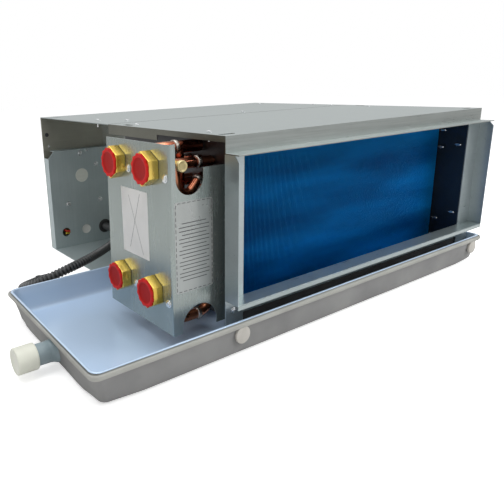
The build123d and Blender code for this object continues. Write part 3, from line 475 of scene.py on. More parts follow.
# A darker red for the cap's hollow face: painted shade in the recess.
cap_red_shaded = moulded(
    "Red cap hollow in painted shade", (0.32, 0.004, 0.003), (0.40, 0.006, 0.004), 0.55, 0.68, 60.0, 1300.0, 0.08
)
for red in (cap_red, cap_red_shaded):
    red.node_tree.nodes["Principled BSDF"].inputs["Specular IOR Level"].default_value = 0.25
cap_cream = moulded(
    "Cream cap plastic", (0.66, 0.67, 0.58), (0.74, 0.75, 0.66), 0.3, 0.42, 40.0, 1300.0, 0.06
)
spigot_plastic = moulded(
    "Blue grey spigot", (0.20, 0.27, 0.30), (0.30, 0.37, 0.40), 0.3, 0.45, 40.0, 1200.0, 0.06
)
black_plastic = moulded(
    "Black plastic", (0.012, 0.013, 0.014), (0.03, 0.031, 0.033), 0.32, 0.5, 50.0, 1200.0, 0.15
)
black_rubber = moulded(
    "Black rubber", (0.015, 0.015, 0.015), (0.03, 0.03, 0.03), 0.55, 0.7, 60.0, 1200.0, 0.2
)
white_plastic = moulded(
    "White plastic", (0.72, 0.72, 0.68), (0.82, 0.82, 0.78), 0.35, 0.5, 50.0, 1200.0, 0.08
)
conduit_plastic = moulded(
    "Grey black conduit", (0.010, 0.011, 0.012), (0.070, 0.074, 0.076), 0.3, 0.42, 50.0, 1200.0, 0.1
)
# The conduit's colour follows the crest attribute: the rib crests are lighter and the grooves
# darker, a painted highlight on each rib and painted shade between them.
conduit_tree = conduit_plastic.node_tree
crest_highlight = conduit_tree.nodes.new("ShaderNodeAttribute")
crest_highlight.attribute_name = "crest_highlight"
shade = next(node for node in conduit_tree.nodes if node.type == "MIX")
conduit_tree.links.new(crest_highlight.outputs["Fac"], shade.inputs["Factor"])
paper = moulded(
    "Label paper", (0.64, 0.63, 0.61), (0.72, 0.71, 0.69), 0.5, 0.62, 30.0, 1500.0, 0.06
)
silver_film = moulded(
    "Silver label film", (0.37, 0.39, 0.38), (0.45, 0.47, 0.46), 0.24, 0.34, 20.0, 1500.0, 0.04, 0.5
)
label_ink = moulded(
    "Label ink", (0.05, 0.05, 0.055), (0.09, 0.09, 0.095), 0.5, 0.6, 40.0, 1500.0, 0.03
)
wire_yellow = moulded(
    "Yellow wire", (0.62, 0.44, 0.03), (0.74, 0.54, 0.06), 0.35, 0.45, 80.0, 1200.0, 0.05
)
wire_red = moulded(
    "Red wire", (0.60, 0.03, 0.02), (0.72, 0.06, 0.03), 0.35, 0.45, 80.0, 1200.0, 0.05
)
filter_cloth = moulded(
    "Filter cloth", (0.05, 0.05, 0.055), (0.10, 0.10, 0.11), 0.8, 0.95, 80.0, 1600.0, 0.5
)
# The fins' random coating tone is drawn out into horizontal bands, which stand for painted
# reflections and shade across the coil face.
fin_tree = fin_blue.node_tree
fin_reflection_bands = fin_tree.nodes.new("ShaderNodeMapping")
fin_reflection_bands.inputs["Scale"].default_value = (0.35, 1.0, 1.9)
fin_skin = next(node for node in fin_tree.nodes if node.type == "GROUP")
fin_place = next(node for node in fin_tree.nodes if node.type == "TEX_COORD")
fin_tree.links.new(fin_place.outputs["Object"], fin_reflection_bands.inputs["Vector"])
fin_tree.links.new(fin_reflection_bands.outputs[0], fin_skin.inputs["Vector"])
print("materials in all", len(bpy.data.materials))

# %% [markdown]
# Some solids are seen as they are, mostly deep inside, and get a finish here. All the
# others are replaced below by finer pieces, which bring their own.

# %% Give the plain CAD nodes their finishes
dress(blue_shade_zinc, "coil_end_plate_right")
dress(dark_zinc, "coil_end_plate_left")
dress(inner_zinc, "fan_housing_left", "fan_housing_right", "motor_saddle")
dress(inner_zinc, "filter_rail_bottom", "filter_rail_top")
dress(copper, "coil_tubes", "hairpin_bends", "return_bends")
dress(copper, "cooling_supply_header", "cooling_return_header")
dress(plated_steel, "impeller_left", "impeller_right", "fan_shaft")
dress(motor_enamel, "fan_motor")
dress(black_plastic, "filter_frame")
dress(white_plastic, "terminal_block", "motor_capacitor")
dress(filter_cloth, "filter_mesh")
print("nodes in the frame", len(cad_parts))

# %% [markdown]
# Most of the pieces below start as a primitive and are shaped in edit mode, as a person
# would shape them by hand. An operator acts on all that is selected, so these helpers
# open one object, pick faces, edges or points by where they are, and close it again.

# %% Helpers for shaping a piece
MERGE_WITHIN = 0.000001
AXIS_TURNS = {"X": (math.pi / 2, 0, math.pi / 2), "Y": (math.pi / 2, 0, 0), "Z": (0, 0, 0)}
AXIS_WAYS = {"X": Vector((1, 0, 0)), "Y": Vector((0, 1, 0)), "Z": Vector((0, 0, 1))}


def corners(node):
    """The low corner, the high corner and the middle of a CAD node's box."""
    low, high = (Vector(corner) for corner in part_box(node))
    return low, high, (low + high) / 2


def edit(piece):
    """Open one object in edit mode with nothing picked."""
    hold(piece)
    bpy.ops.object.mode_set(mode="EDIT")
    bpy.ops.mesh.select_all(action="DESELECT")


def pick(piece, kind, test):
    """Select the faces, edges or points of the open object that pass a test."""
    bpy.ops.mesh.select_mode(type=kind)
    bpy.ops.mesh.select_all(action="DESELECT")
    bpy.ops.object.mode_set(mode="OBJECT")
    data = piece.data
    items = {"FACE": data.polygons, "EDGE": data.edges, "VERT": data.vertices}[kind]
    count = 0
    for item in items:
        item.select = bool(test(item))
        count += item.select
    bpy.ops.object.mode_set(mode="EDIT")
    return count


def smooth(piece, angle=30):
    """Smooth the faces that meet at less than an angle."""
    hold(piece)
    bpy.ops.object.shade_smooth_by_angle(angle=math.radians(angle))


def close_edit(piece, angle=30):
    """Leave edit mode with merged points, outward faces and smooth shading."""
    bpy.ops.mesh.select_all(action="SELECT")
    bpy.ops.mesh.remove_doubles(threshold=MERGE_WITHIN)
    bpy.ops.mesh.normals_make_consistent(inside=False)
    bpy.ops.object.mode_set(mode="OBJECT")
    smooth(piece, angle)


def settle(piece):
    """Put an object's place, turn and size into its mesh."""
    hold(piece)
    bpy.ops.object.transform_apply(location=True, rotation=True, scale=True)
    return piece


def apply_all(piece):
    """Apply every modifier of an object in order."""
    hold(piece)
    for modifier in list(piece.modifiers):
        bpy.ops.object.modifier_apply(modifier=modifier.name)


def round_edges(piece, width, segments=2, angle=30):
    """Round the sharp edges of a finished shape."""
    rounding = piece.modifiers.new("Rounding", "BEVEL")
    rounding.width = width
    rounding.segments = segments
    rounding.limit_method = "ANGLE"
    rounding.angle_limit = math.radians(angle)
    apply_all(piece)
    smooth(piece, angle)


def cut(piece, cutter, operation="DIFFERENCE"):
    """Cut one solid with another, which is then thrown away."""
    knife = piece.modifiers.new("Cut", "BOOLEAN")
    knife.operation = operation
    knife.solver = "EXACT"
    knife.object = cutter
    apply_all(piece)
    bpy.data.objects.remove(cutter)


def join(pieces, name):
    """Join several objects into the first one."""
    deselect()
    for piece in pieces:
        piece.select_set(True)
    bpy.context.view_layer.objects.active = pieces[0]
    if len(pieces) > 1:
        bpy.ops.object.join()
    pieces[0].name = name
    return pieces[0]


def copy_of(piece):
    """A linked copy of an object with a mesh of its own."""
    copy = piece.copy()
    copy.data = piece.data.copy()
    bpy.context.scene.collection.objects.link(copy)
    return copy


def only_paint(piece, paint):
    """Give a piece one finish in place of those it has."""
    piece.data.materials.clear()
    piece.data.materials.append(paint)


def paint_faces(piece, paint, test):
    """Add one more finish to a piece, for the faces that pass a test."""
    piece.data.materials.append(paint)
    edit(piece)
    count = pick(piece, "FACE", test)
    piece.active_material_index = len(piece.data.materials) - 1
    bpy.ops.object.material_slot_assign()
    bpy.ops.object.mode_set(mode="OBJECT")
    return count


def rod(centre, radius, length, axis="X", sides=32):
    """A cylinder along one axis, as a start for turned pieces."""
    deselect()
    bpy.ops.mesh.primitive_cylinder_add(
        vertices=sides, radius=radius, depth=length, location=centre, rotation=AXIS_TURNS[axis]
    )
    return settle(bpy.context.object)


def turned(start, axis, steps, sides=48):
    """A turned solid, drawn from steps of distance and radius along one axis."""
    start = Vector(start)
    way = AXIS_WAYS[axis]
    walked, width = steps[0]
    place = start + way * walked
    deselect()
    bpy.ops.mesh.primitive_circle_add(
        vertices=sides, radius=width, fill_type="NGON", location=place, rotation=AXIS_TURNS[axis]
    )
    piece = settle(bpy.context.object)
    edit(piece)
    bpy.ops.mesh.select_all(action="SELECT")
    for distance, radius in steps[1:]:
        move = tuple(way * (distance - walked))
        bpy.ops.mesh.extrude_region_move(TRANSFORM_OT_translate={"value": move})
        share = tuple(1 if part else radius / width for part in way)
        bpy.ops.transform.resize(value=share, center_override=tuple(start))
        walked, width = distance, radius
    close_edit(piece)
    return piece


def block(low, high):
    """A box between two corners, as a start for flat pieces."""
    low, high = Vector(low), Vector(high)
    deselect()
    bpy.ops.mesh.primitive_cube_add(size=1, location=(low + high) / 2)
    piece = bpy.context.object
    piece.scale = high - low
    return settle(piece)


def hand_in(piece, name, paint, body="unit", stands_for=()):
    """Name a finished piece, give it its finish and its body, and hide the CAD nodes it stands for.
    """
    piece.name = name
    if paint is not None:
        only_paint(piece, paint)
    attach(piece, body)
    if stands_for:
        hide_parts(*stands_for)
    print(name, "faces", len(piece.data.polygons))
    return piece


# %% [markdown]
# The sheet metal of the casing keeps the shape of its solids, but a folded or sheared
# edge is never quite sharp. A copy of each solid gets its points merged, its flat faces
# joined, and its edges rounded by a bevel, so that they catch a thin line of light.

# %% Casing sheets with soft edges
SHEET_EDGE = 0.0003


def soft_copy(node):
    """A copy of a CAD solid with clean faces and rounded edges, which takes its place."""
    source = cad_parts[node]
    piece = copy_of(source)
    piece.parent = None
    piece.matrix_world = source.matrix_world
    settle(piece)
    edit(piece)
    bpy.ops.mesh.select_all(action="SELECT")
    bpy.ops.mesh.remove_doubles(threshold=MERGE_WITHIN)
    bpy.ops.mesh.dissolve_limited(angle_limit=math.radians(1))
    bpy.ops.object.mode_set(mode="OBJECT")
    round_edges(piece, SHEET_EDGE, 2, 40)
    flat = piece.modifiers.new("Flat faces", "WEIGHTED_NORMAL")
    flat.keep_sharp = True
    apply_all(piece)
    return piece


SHEETS = [
    ("top_panel_rear", "rear_top_sheet", top_zinc, "top_sheet"),
    ("front_rail", "collar_lower_rail", rail_zinc, "galvanised_steel"),
    ("end_frame_left", "left_end_frame", frame_zinc, "galvanised_steel"),
    ("end_frame_right", "right_end_frame", frame_zinc, "galvanised_steel"),
    ("side_panel_right", "right_side_sheet", bright_zinc, "galvanised_steel"),
    ("rear_panel", "rear_sheet", rear_zinc, "galvanised_steel"),
    ("connection_bracket", "folded_bracket", mirror_zinc, "galvanised_steel"),
    ("control_box", "control_box_case", lifted_box_zinc, "galvanised_steel"),
    ("bottom_panel", "floor_sheet", lifted_box_zinc, "galvanised_steel"),
    ("fan_deck", "blower_deck", inner_zinc, "galvanised_steel"),
    ("bay_partition", "bay_wall", inner_zinc, "galvanised_steel"),
]
for node, name, paint, slot in SHEETS:
    sheet = soft_copy(node)
    if node == "front_rail":
        lip = block(at(0.3, -21.5, 58.4), at(544.7, -20.4, 64.2))
        round_edges(lip, SHEET_EDGE)
        sheet = join([sheet, lip], name)
    hand_in(sheet, name, paint, "unit", [node])

front_sheet = soft_copy("top_panel_front")
only_paint(front_sheet, top_zinc)
behind_band = CASING_FRONT + 0.0015
skirt_faces = paint_faces(
    front_sheet, shaded_zinc, lambda face: face.normal.x < -0.5 and face.center.y > behind_band
)
# The vertical band of the front sheet gets the darker zinc, a painted shade.
paint_faces(
    front_sheet, band_shade_zinc,
    lambda face: face.normal.y < -0.9 and face.center.y < CASING_FRONT + 0.001,
)
hand_in(front_sheet, "front_top_sheet", None, "unit", ["top_panel_front"])
print("skirt faces in shade", skirt_faces)

# %% [markdown]
# A dark strip along the seam between the two top sheets is a painted shadow line, wider than
# the shade of the thin gap itself. Another one hangs under the lower rail as painted shade.

# %% Dark strips of painted shade
# A dark strip along the seam: a painted shadow line.
seam_shadow_strip = block(at(1.5, 260.3, 252.9), at(543.5, 261.6, 254.14))
round_edges(seam_shadow_strip, 0.0002)
hand_in(seam_shadow_strip, "seam_shadow_strip", black_rubber)
# A dark strip under the lower rail: painted shade that darkens the pan inside behind it.
pan_shade_strip = block(at(28.9, 1.6, 16), at(509.4, 6.4, 44))
edit(pan_shade_strip)
pick(pan_shade_strip, "FACE", lambda face: face.normal.z < -0.9)
bpy.ops.mesh.inset(thickness=0.0012)
bpy.ops.transform.translate(value=(0, 0, -0.0008))
close_edit(pan_shade_strip)
round_edges(pan_shade_strip, 0.0006)
hand_in(pan_shade_strip, "pan_shade_strip", black_rubber)

# %% [markdown]
# The coil is a stack of thin aluminium fins with a blue coating that sheds water. Each
# fin is pressed into ripples that stir the air. One rippled fin is made from a grid, the
# grid's every second column is moved, and an array repeats the fin along the tubes.

# %% Rippled fin stack
FIN_PITCH = 0.0023
FIN_RIPPLES = 12
FIN_RIPPLE = 0.0004
FIN_SHEET = 0.0002
FIN_INSET = 0.001
fins_low, fins_high, fins_middle = corners("coil_fins")
deselect()
bpy.ops.mesh.primitive_grid_add(
    x_subdivisions=FIN_RIPPLES, y_subdivisions=1, size=1, rotation=AXIS_TURNS["X"]
)
fin = settle(bpy.context.object)
fin.scale = (1, fins_high.y - fins_low.y, fins_high.z - fins_low.z)
fin.location = (fins_low.x + FIN_INSET, fins_middle.y, fins_middle.z)
settle(fin)
columns = sorted({round(point.co.y, 6) for point in fin.data.vertices})
edit(fin)
moved = pick(fin, "VERT", lambda point: columns.index(round(point.co.y, 6)) % 2)
bpy.ops.transform.translate(value=(FIN_RIPPLE, 0, 0))
bpy.ops.object.mode_set(mode="OBJECT")
thickness = fin.modifiers.new("Sheet", "SOLIDIFY")
thickness.thickness = FIN_SHEET
stack = fin.modifiers.new("Stack", "ARRAY")
stack.use_relative_offset = False
stack.use_constant_offset = True
stack.constant_offset_displace = (FIN_PITCH, 0, 0)
stack.count = int((fins_high.x - fins_low.x - 2 * FIN_INSET) / FIN_PITCH)
print("ripple points", moved, "fins", stack.count)
apply_all(fin)
hand_in(fin, "rippled_fins", fin_blue, "unit", ["coil_fins"])

# %% [markdown]
# The four sockets are brass hexagons. Each starts as a six-sided rod that is bored, has
# its edges rounded, and gets a round neck. It stands a hair off the plate, which leaves
# the thin dark line round its foot.

# %% Brass hexagon sockets
HEX_FLATS = 0.034
HEX_LENGTH = 0.0121
HEX_BORE = 0.0121
NECK_RADIUS = 0.011
PLACES = ("lower_front", "lower_rear", "upper_front", "upper_rear")


def brass_socket(name):
    """One hexagon socket on the bracket, with its bore and neck."""
    low, high, middle = corners(name)
    face = Vector((low.x + HEX_LENGTH / 2, middle.y, middle.z))
    nut = rod(face, HEX_FLATS / 2 / math.cos(math.pi / 6), HEX_LENGTH, "X", 6)
    cut(nut, rod(Vector((low.x, middle.y, middle.z)), HEX_BORE, 0.018, "X", 48))
    round_edges(nut, 0.0005, 3, 40)
    neck_length = high.x - low.x - HEX_LENGTH
    neck_middle = Vector((high.x - neck_length / 2, middle.y, middle.z))
    neck = rod(neck_middle, NECK_RADIUS, neck_length, "X", 48)
    smooth(neck)
    return join([nut, neck], name)


for place in PLACES:
    node = "union_" + place
    hand_in(brass_socket(node), "brass_socket_" + place, brass, "unit", [node])

# %% [markdown]
# Each socket is closed by a red shipping cap. It has a wavy rim for the fingers, a raised
# ring and a hollow face, and a plug behind it that grips the bore.

# %% Red shipping caps
CAP_LOBES = 12
CAP_SIDES = CAP_LOBES * 6
LOBE_SHARES = (((0,), 0.91), ((1, 5), 0.935), ((2, 4), 0.98))
CAP_STEPS = [
    (0.0018, 0.0040), (0.0015, 0.0062), (0.0015, 0.0104), (0.0012, 0.0116), (0.0003, 0.0128),
    (0.0, 0.0134), (0.0, 0.0166), (0.0005, 0.0176), (0.0017, 0.0176), (0.0022, 0.0168),
    (0.0022, 0.0118), (0.0032, 0.0114), (0.0084, 0.0112), (0.0092, 0.0100),
]


def off_axis(place, middle):
    """Distance of a place from the cap's middle line."""
    return math.hypot(place.y - middle.y, place.z - middle.z)


def shipping_cap(name):
    """One cap with its wavy rim, hollow face and plug, drawn step by step."""
    low, high, middle = corners(name)
    face = Vector((low.x, middle.y, middle.z))
    cap = turned(face, "X", CAP_STEPS, CAP_SIDES)

    def step_of(point):
        """Number of the rim point within its lobe."""
        turn = math.atan2(point.co.y - middle.y, point.co.z - middle.z)
        return round(turn * CAP_SIDES / (2 * math.pi)) % 6

    edit(cap)
    for steps, share in LOBE_SHARES:
        pick(
            cap, "VERT",
            lambda point: off_axis(point.co, middle) > 0.0160 and step_of(point) in steps,
        )
        bpy.ops.transform.resize(value=(1, share, share), center_override=tuple(face))
    close_edit(cap, 40)
    only_paint(cap, cap_red)
    # The hollow face gets the darker red, a painted shade in the recess.
    hollow_end = low.x + 0.0019
    paint_faces(
        cap, cap_red_shaded,
        lambda flat: flat.center.x < hollow_end and off_axis(flat.center, middle) < 0.0122,
    )
    return cap


for place in PLACES:
    node = "cap_" + place
    cap = shipping_cap(node)
    hand_in(cap, "shipping_cap_" + place, None, node + "_body", [node])

# %% [markdown]
# The pan and its foam jacket are tubs with rounded corners. A flat plate gets its corners
# rounded, and is then pulled up step by step: each step is an extrusion that is moved up
# and grown or shrunk. The steps draw the wall in section, from the underside over the
# rim and down to the floor inside.

# %% Tubs drawn step by step
PAN_LENGTH = 0.730
PAN_DEPTH = 0.2605
PAN_CORNER = 0.018
PAN_CENTRE = at(-181.5 + 365, -17.5 + 130.25, 0)
LOW_PART = 0.012


def tub(steps):
    """A rounded tub from steps of height and growth past the pan's rim, in millimetres."""
    last_height, growth = steps[0]
    width = PAN_LENGTH + 2 * growth / 1000
    depth = PAN_DEPTH + 2 * growth / 1000
    start = PAN_CENTRE + Vector((0, 0, last_height / 1000))
    deselect()
    bpy.ops.mesh.primitive_plane_add(size=1, location=start)
    piece = bpy.context.object
    piece.scale = (width, depth, 1)
    settle(piece)
    edit(piece)
    bpy.ops.mesh.select_all(action="SELECT")
    bpy.ops.mesh.bevel(offset=PAN_CORNER + growth / 1000, segments=8, affect="VERTICES")
    centre = tuple(PAN_CENTRE)
    for height, growth in steps[1:]:
        new_width = PAN_LENGTH + 2 * growth / 1000
        new_depth = PAN_DEPTH + 2 * growth / 1000
        rise = (height - last_height) / 1000
        share = (new_width / width, new_depth / depth, 1)
        bpy.ops.mesh.extrude_region_move(TRANSFORM_OT_translate={"value": (0, 0, rise)})
        bpy.ops.transform.resize(value=share, center_override=centre)
        width, depth, last_height = new_width, new_depth, height
    close_edit(piece, 50)
    return piece


def drag(piece, test, move, reach, falloff="SMOOTH"):
    """Pull the picked points and, less and less, those round them."""
    edit(piece)
    pick(piece, "VERT", test)
    bpy.ops.transform.translate(
        value=move, use_proportional_edit=True,
        proportional_edit_falloff=falloff, proportional_size=reach,
    )
    bpy.ops.object.mode_set(mode="OBJECT")


def relax(piece):
    """Lean the left wall, round the low corners and draw in the rear left corner."""
    reach_x, reach_y = PAN_LENGTH / 2, PAN_DEPTH / 2
    near_left = PAN_CENTRE.x - reach_x + 0.02
    drag(
        piece, lambda point: point.co.x < near_left and point.co.z < LOW_PART,
        (0.002, 0, 0), 0.03, "LINEAR",
    )
    for side_x in (-1, 1):
        for side_y in (-1, 1):
            corner = PAN_CENTRE + Vector((side_x * reach_x, side_y * reach_y, 0))
            drag(
                piece,
                lambda point: (point.co.xy - corner.xy).length < 0.014 and point.co.z < LOW_PART,
                (-side_x * 0.0034, -side_y * 0.0034, 0), 0.036,
            )
    corner = PAN_CENTRE + Vector((-reach_x, reach_y, 0))
    drag(
        piece, lambda point: (point.co.xy - corner.xy).length < 0.03,
        (0.0075, 0, 0), 0.25, "LINEAR",
    )


def drain_hole():
    """A rod where the spigot goes through the left wall."""
    high, middle = corners("drain_spigot")[1:]
    return rod(Vector((high.x - 0.012, middle.y, middle.z)), 0.0125, 0.05, "X", 48)


# %% [markdown]
# The jacket is soft foam. Its long edges are divided first, and a cloud of noise moves
# the points a little, so that its lip isn't perfectly straight.

# %% Foam jacket
JACKET_STEPS = [
    (0.0, -9.0), (0.7, -5.6), (2.4, -2.8), (5.2, -0.8), (9.0, 0.0), (15.0, 0.6), (24.0, 1.2),
    (33.6, 1.7), (34.6, 2.4), (35.2, 3.8), (36.4, 5.2), (38.4, 5.9), (40.4, 5.9), (41.8, 5.3),
    (42.3, 4.5), (42.0, 3.9), (40.6, 3.5), (40.2, 2.8), (41.6, 2.2), (42.4, 1.5), (30.0, 0.6),
    (14.0, -0.5), (8.0, -1.0),
]
jacket = tub(JACKET_STEPS)


def length_of(edge):
    """Length of one edge of the jacket."""
    first, second = (jacket.data.vertices[number].co for number in edge.vertices)
    return (first - second).length


edit(jacket)
pick(jacket, "EDGE", lambda edge: length_of(edge) > 0.1)
bpy.ops.mesh.subdivide(number_cuts=15)
bpy.ops.object.mode_set(mode="OBJECT")
foam_cloud = bpy.data.textures.new("Foam cloud", "CLOUDS")
foam_cloud.noise_scale = 0.05
swell = jacket.modifiers.new("Swell", "DISPLACE")
swell.texture = foam_cloud
swell.texture_coords = "LOCAL"
swell.strength = 0.0011
swell.mid_level = 0.5
apply_all(jacket)
relax(jacket)
cut(jacket, drain_hole())
smooth(jacket, 50)
only_paint(jacket, jacket_foam)
lip_faces = paint_faces(
    jacket, lip_foam, lambda face: face.center.z > 0.0362 and len(face.vertices) < 6
)
print("lip faces", lip_faces)
hand_in(jacket, "foam_jacket", None, "unit", ["pan_insulation"])

# %% [markdown]
# The pan inside the jacket is pressed from sheet metal, with a rim that is folded outward
# over the foam. A box with rounded edges would look too stiff, because a pressed wall
# leans and runs into the floor in a soft round. So the pan is drawn step by step as the
# jacket is, and the same drags lean it, which keeps the two in touch.

# %% Pressed pan
PAN_STEPS = [
    (8.1, -7.5), (8.5, -4.6), (10.2, -2.4), (14.0, -1.1), (28.0, -0.1), (42.2, 0.9), (42.8, 1.6),
    (42.85, 2.8), (43.2, 3.0), (43.7, 3.0), (44.0, 2.7), (44.0, 0.7), (43.7, 0.2), (43.0, 0.0),
    (30.0, -0.9), (16.0, -2.0), (12.4, -3.2), (10.2, -5.4), (9.3, -8.6), (9.2, -12.0),
]
pan = tub(PAN_STEPS)
relax(pan)
cut(pan, drain_hole())
smooth(pan, 50)
hand_in(pan, "pressed_pan", pan_blue, "unit", ["drain_pan"])

# %% [markdown]
# Two round foam plugs fill the jacket's front wall where a second drain could go. The
# drain's own spigot is a plastic tube with a soft cream cap pushed over it.

# %% Plugs, spigot and drain cap
plugs = []
for distance in (8, 525):
    plug = rod(at(distance, -17.5 - 3.3, 27), 0.0107, 0.0034, "Y", 40)
    round_edges(plug, 0.0007, 3)
    plugs.append(plug)
hand_in(join(plugs, "foam_plugs"), "foam_plugs", plug_foam, "unit", ["pan_plugs"])

FLANGE_STEPS = [
    (-0.0085, 0.0126), (-0.0060, 0.0128), (-0.0040, 0.0133), (-0.0020, 0.0142),
    (0.0, 0.0150), (0.0020, 0.0150),
]
spigot_low, spigot_high, spigot_middle = corners("drain_spigot")
spigot = rod(spigot_middle, 0.0125, spigot_high.x - spigot_low.x, "X", 48)
flange_place = Vector((at(-181.5, 0, 0).x + 0.004, spigot_middle.y, spigot_middle.z))
flange = turned(flange_place, "X", FLANGE_STEPS)
cut(spigot, rod(spigot_middle, 0.010, 0.09, "X", 40))
cut(flange, rod(spigot_middle, 0.0115, 0.09, "X", 40))
round_edges(spigot, 0.0004)
spigot = join([spigot, flange], "drain_tube")
hand_in(spigot, "drain_tube", spigot_plastic, "unit", ["drain_spigot"])

cap_low, cap_high, cap_middle = corners("drain_cap")
drain_cap = rod(cap_middle, 0.0154, cap_high.x - cap_low.x, "X", 48)
edit(drain_cap)
pick(drain_cap, "FACE", lambda face: face.normal.x < -0.9)
bpy.ops.mesh.inset(thickness=0.0045)
bpy.ops.mesh.inset(thickness=0.0009)
bpy.ops.transform.translate(value=(0.0005, 0, 0))
close_edit(drain_cap)
bore_middle = Vector((cap_low.x + 0.0024 + 0.015, cap_middle.y, cap_middle.z))
cut(drain_cap, rod(bore_middle, 0.01258, 0.03, "X", 48))
round_edges(drain_cap, 0.0016, 4, 50)
hand_in(
    drain_cap, "drain_cap_moulding", cap_cream, "drain_cap_body", ["drain_cap"]
)

# %% [markdown]
# Sheet metal screws with a flanged hexagonal head hold the casing. One screw is modelled
# with its head along Z, and copies of it are turned and moved to their places.

# %% Screws
FACING_UP = (0, 0, 0)
FACING_LEFT = (0, -math.pi / 2, 0)
FACING_FRONT = (math.pi / 2, 0, 0)


def one_screw(shank, size):
    """A hexagon head on a flange, with a shank below the sheet."""
    flange = rod(Vector((0, 0, 0.00025)), 0.0036, 0.0005, "Z", 24)
    round_edges(flange, 0.00015)
    head = rod(Vector((0, 0, 0.0011)), 0.0029, 0.0013, "Z", 6)
    round_edges(head, 0.0004, 3)
    stem = rod(Vector((0, 0, -shank / 2)), 0.0016, shank, "Z", 12)
    smooth(stem)
    screw = join([flange, head, stem], "screw")
    screw.scale = (size, size, size)
    return settle(screw)


def screw_group(name, places, turn, shank, node, size=1.0):
    """Turned copies of one screw, joined into one piece."""
    master = one_screw(shank, size)
    copies = []
    for place in places:
        copy = copy_of(master)
        copy.rotation_euler = turn
        copy.location = place
        copies.append(settle(copy))
    bpy.data.objects.remove(master)
    return hand_in(join(copies, name), name, plated_steel, "unit", [node])


TOP_SCREWS = [
    (17, 49), (20, 214), (520, 193), (54, 298), (30, 351),
    (287, 285), (509, 472), (525, 328), (520, 279),
]
BRACKET_SCREWS = [(23, 41), (99, 38.5), (23, 184), (92.5, 180)]
BOX_SCREWS = [(65, 183), (98, 159), (33, 87), (102, 87)]
top_places = [at(x, y, 254) for x, y in TOP_SCREWS]
bracket_places = [at(-64, y, 254 - drop) for y, drop in BRACKET_SCREWS]
box_places = [at(x, 503, z) for x, z in BOX_SCREWS]
screw_group("top_sheet_screws", top_places, FACING_UP, 0.011, "top_screws")
screw_group("bracket_plate_screws", bracket_places, FACING_LEFT, 0.005, "bracket_screws", 1.3)
screw_group("control_box_screws", box_places, FACING_FRONT, 0.006, "box_screws", 1.35)
screw_group("foot_fixing", [at(12, 0, 49)], FACING_FRONT, 0.006, "foot_screw")

# %% [markdown]
# Copper pipes run from the sockets into the coil. Each one is a curve with a round
# section, turned into a mesh, because a pipe is easier to draw along its middle line than
# to push and pull. The silver rings are the brazed joints, where a tube ends in a sleeve.

# %% Copper pipes behind the bracket


def nurbs_path(name, points, resolution):
    """One open NURBS spline through points of the casing, with its ends fixed."""
    data = bpy.data.curves.new(name, "CURVE")
    data.dimensions = "3D"
    data.resolution_u = resolution
    spline = data.splines.new("NURBS")
    spline.points.add(len(points) - 1)
    for knot, point in zip(spline.points, points):
        knot.co = (*at(*point), 1)
    spline.order_u = 3
    spline.use_endpoint_u = True
    path = bpy.data.objects.new(name, data)
    bpy.context.scene.collection.objects.link(path)
    return path


def pipe(points, radius):
    """A smooth round pipe through control points, as a closed mesh."""
    path = nurbs_path("pipe", points, 10)
    path.data.bevel_depth = radius
    path.data.bevel_resolution = 6
    path.data.use_fill_caps = True
    hold(path)
    bpy.ops.object.convert(target="MESH")
    piece = bpy.context.object
    smooth(piece, 50)
    return piece


def ring(place, along, radius, length):
    """A short sleeve round a pipe, with soft edges."""
    deselect()
    turn = Vector(along).to_track_quat("Z", "Y").to_euler()
    bpy.ops.mesh.primitive_cylinder_add(
        vertices=32, radius=radius, depth=length, location=place, rotation=turn
    )
    sleeve = settle(bpy.context.object)
    round_edges(sleeve, min(radius, length) * 0.25, 3)
    return sleeve


UPPER_PIPE = [
    (-50, 51.5, 221.5), (-40, 51.5, 221.5), (-20, 51.5, 221.5), (0, 52, 221),
    (14, 56, 219.5), (25, 56, 219.5),
]
UPPER_LOOP = [
    (-33, 51.5, 219), (-31, 51, 208), (-30, 50.5, 196), (-24, 50.5, 187), (-12, 51, 186),
    (-5, 52, 192), (2, 53, 199), (12, 56, 203), (25, 58, 203),
]
LOWER_PIPE = [
    (-50, 51.5, 77.5), (-40, 51.5, 77.5), (-33, 51.5, 77), (-33, 51.5, 60), (-33, 51.5, 36),
    (-24, 51.5, 30.5), (-4, 52, 31), (12, 53, 33), (18, 55, 43), (25, 56, 44.5),
]
CROSSING = [
    (-50, 121.5, 221.5), (-40, 121.5, 222), (-36, 104, 232), (-30, 84, 236),
    (-14, 78, 236.5), (4, 78, 236.5), (25, 78, 236.5),
]
upper = join([pipe(UPPER_PIPE, 0.0064), pipe(UPPER_LOOP, 0.0056)], "upper")
hand_in(upper, "heating_return_tubing", copper, "unit", ["heating_return_pipe"])
lower = pipe(LOWER_PIPE, 0.0064)
hand_in(lower, "heating_supply_tubing", copper, "unit", ["heating_supply_pipe"])
hand_in(pipe(CROSSING, 0.0078), "upper_crossing_pipe", copper)
rings = [
    ring(at(1, 52, 221), (1, 0.05, 0), 0.0079, 0.0055),
    ring(at(3, 53.4, 199.6), (1, 0.2, 0.6), 0.0070, 0.0055),
    ring(at(-12, 78, 236.5), (1, 0, 0), 0.0093, 0.005),
    ring(at(-2, 52.1, 31), (1, 0.05, 0.02), 0.0078, 0.0055),
]
hand_in(join(rings, "rings"), "brazed_rings", solder)

# %% [markdown]
# Two labels are stuck on the bracket. They carry no words. The paper one on the plate has
# two thin lines that cross, and the silver one on the leg has a dashed frame and plain
# rules. A label is a thin plate with rounded corners, and its lines lie just above it.

# %% Labels


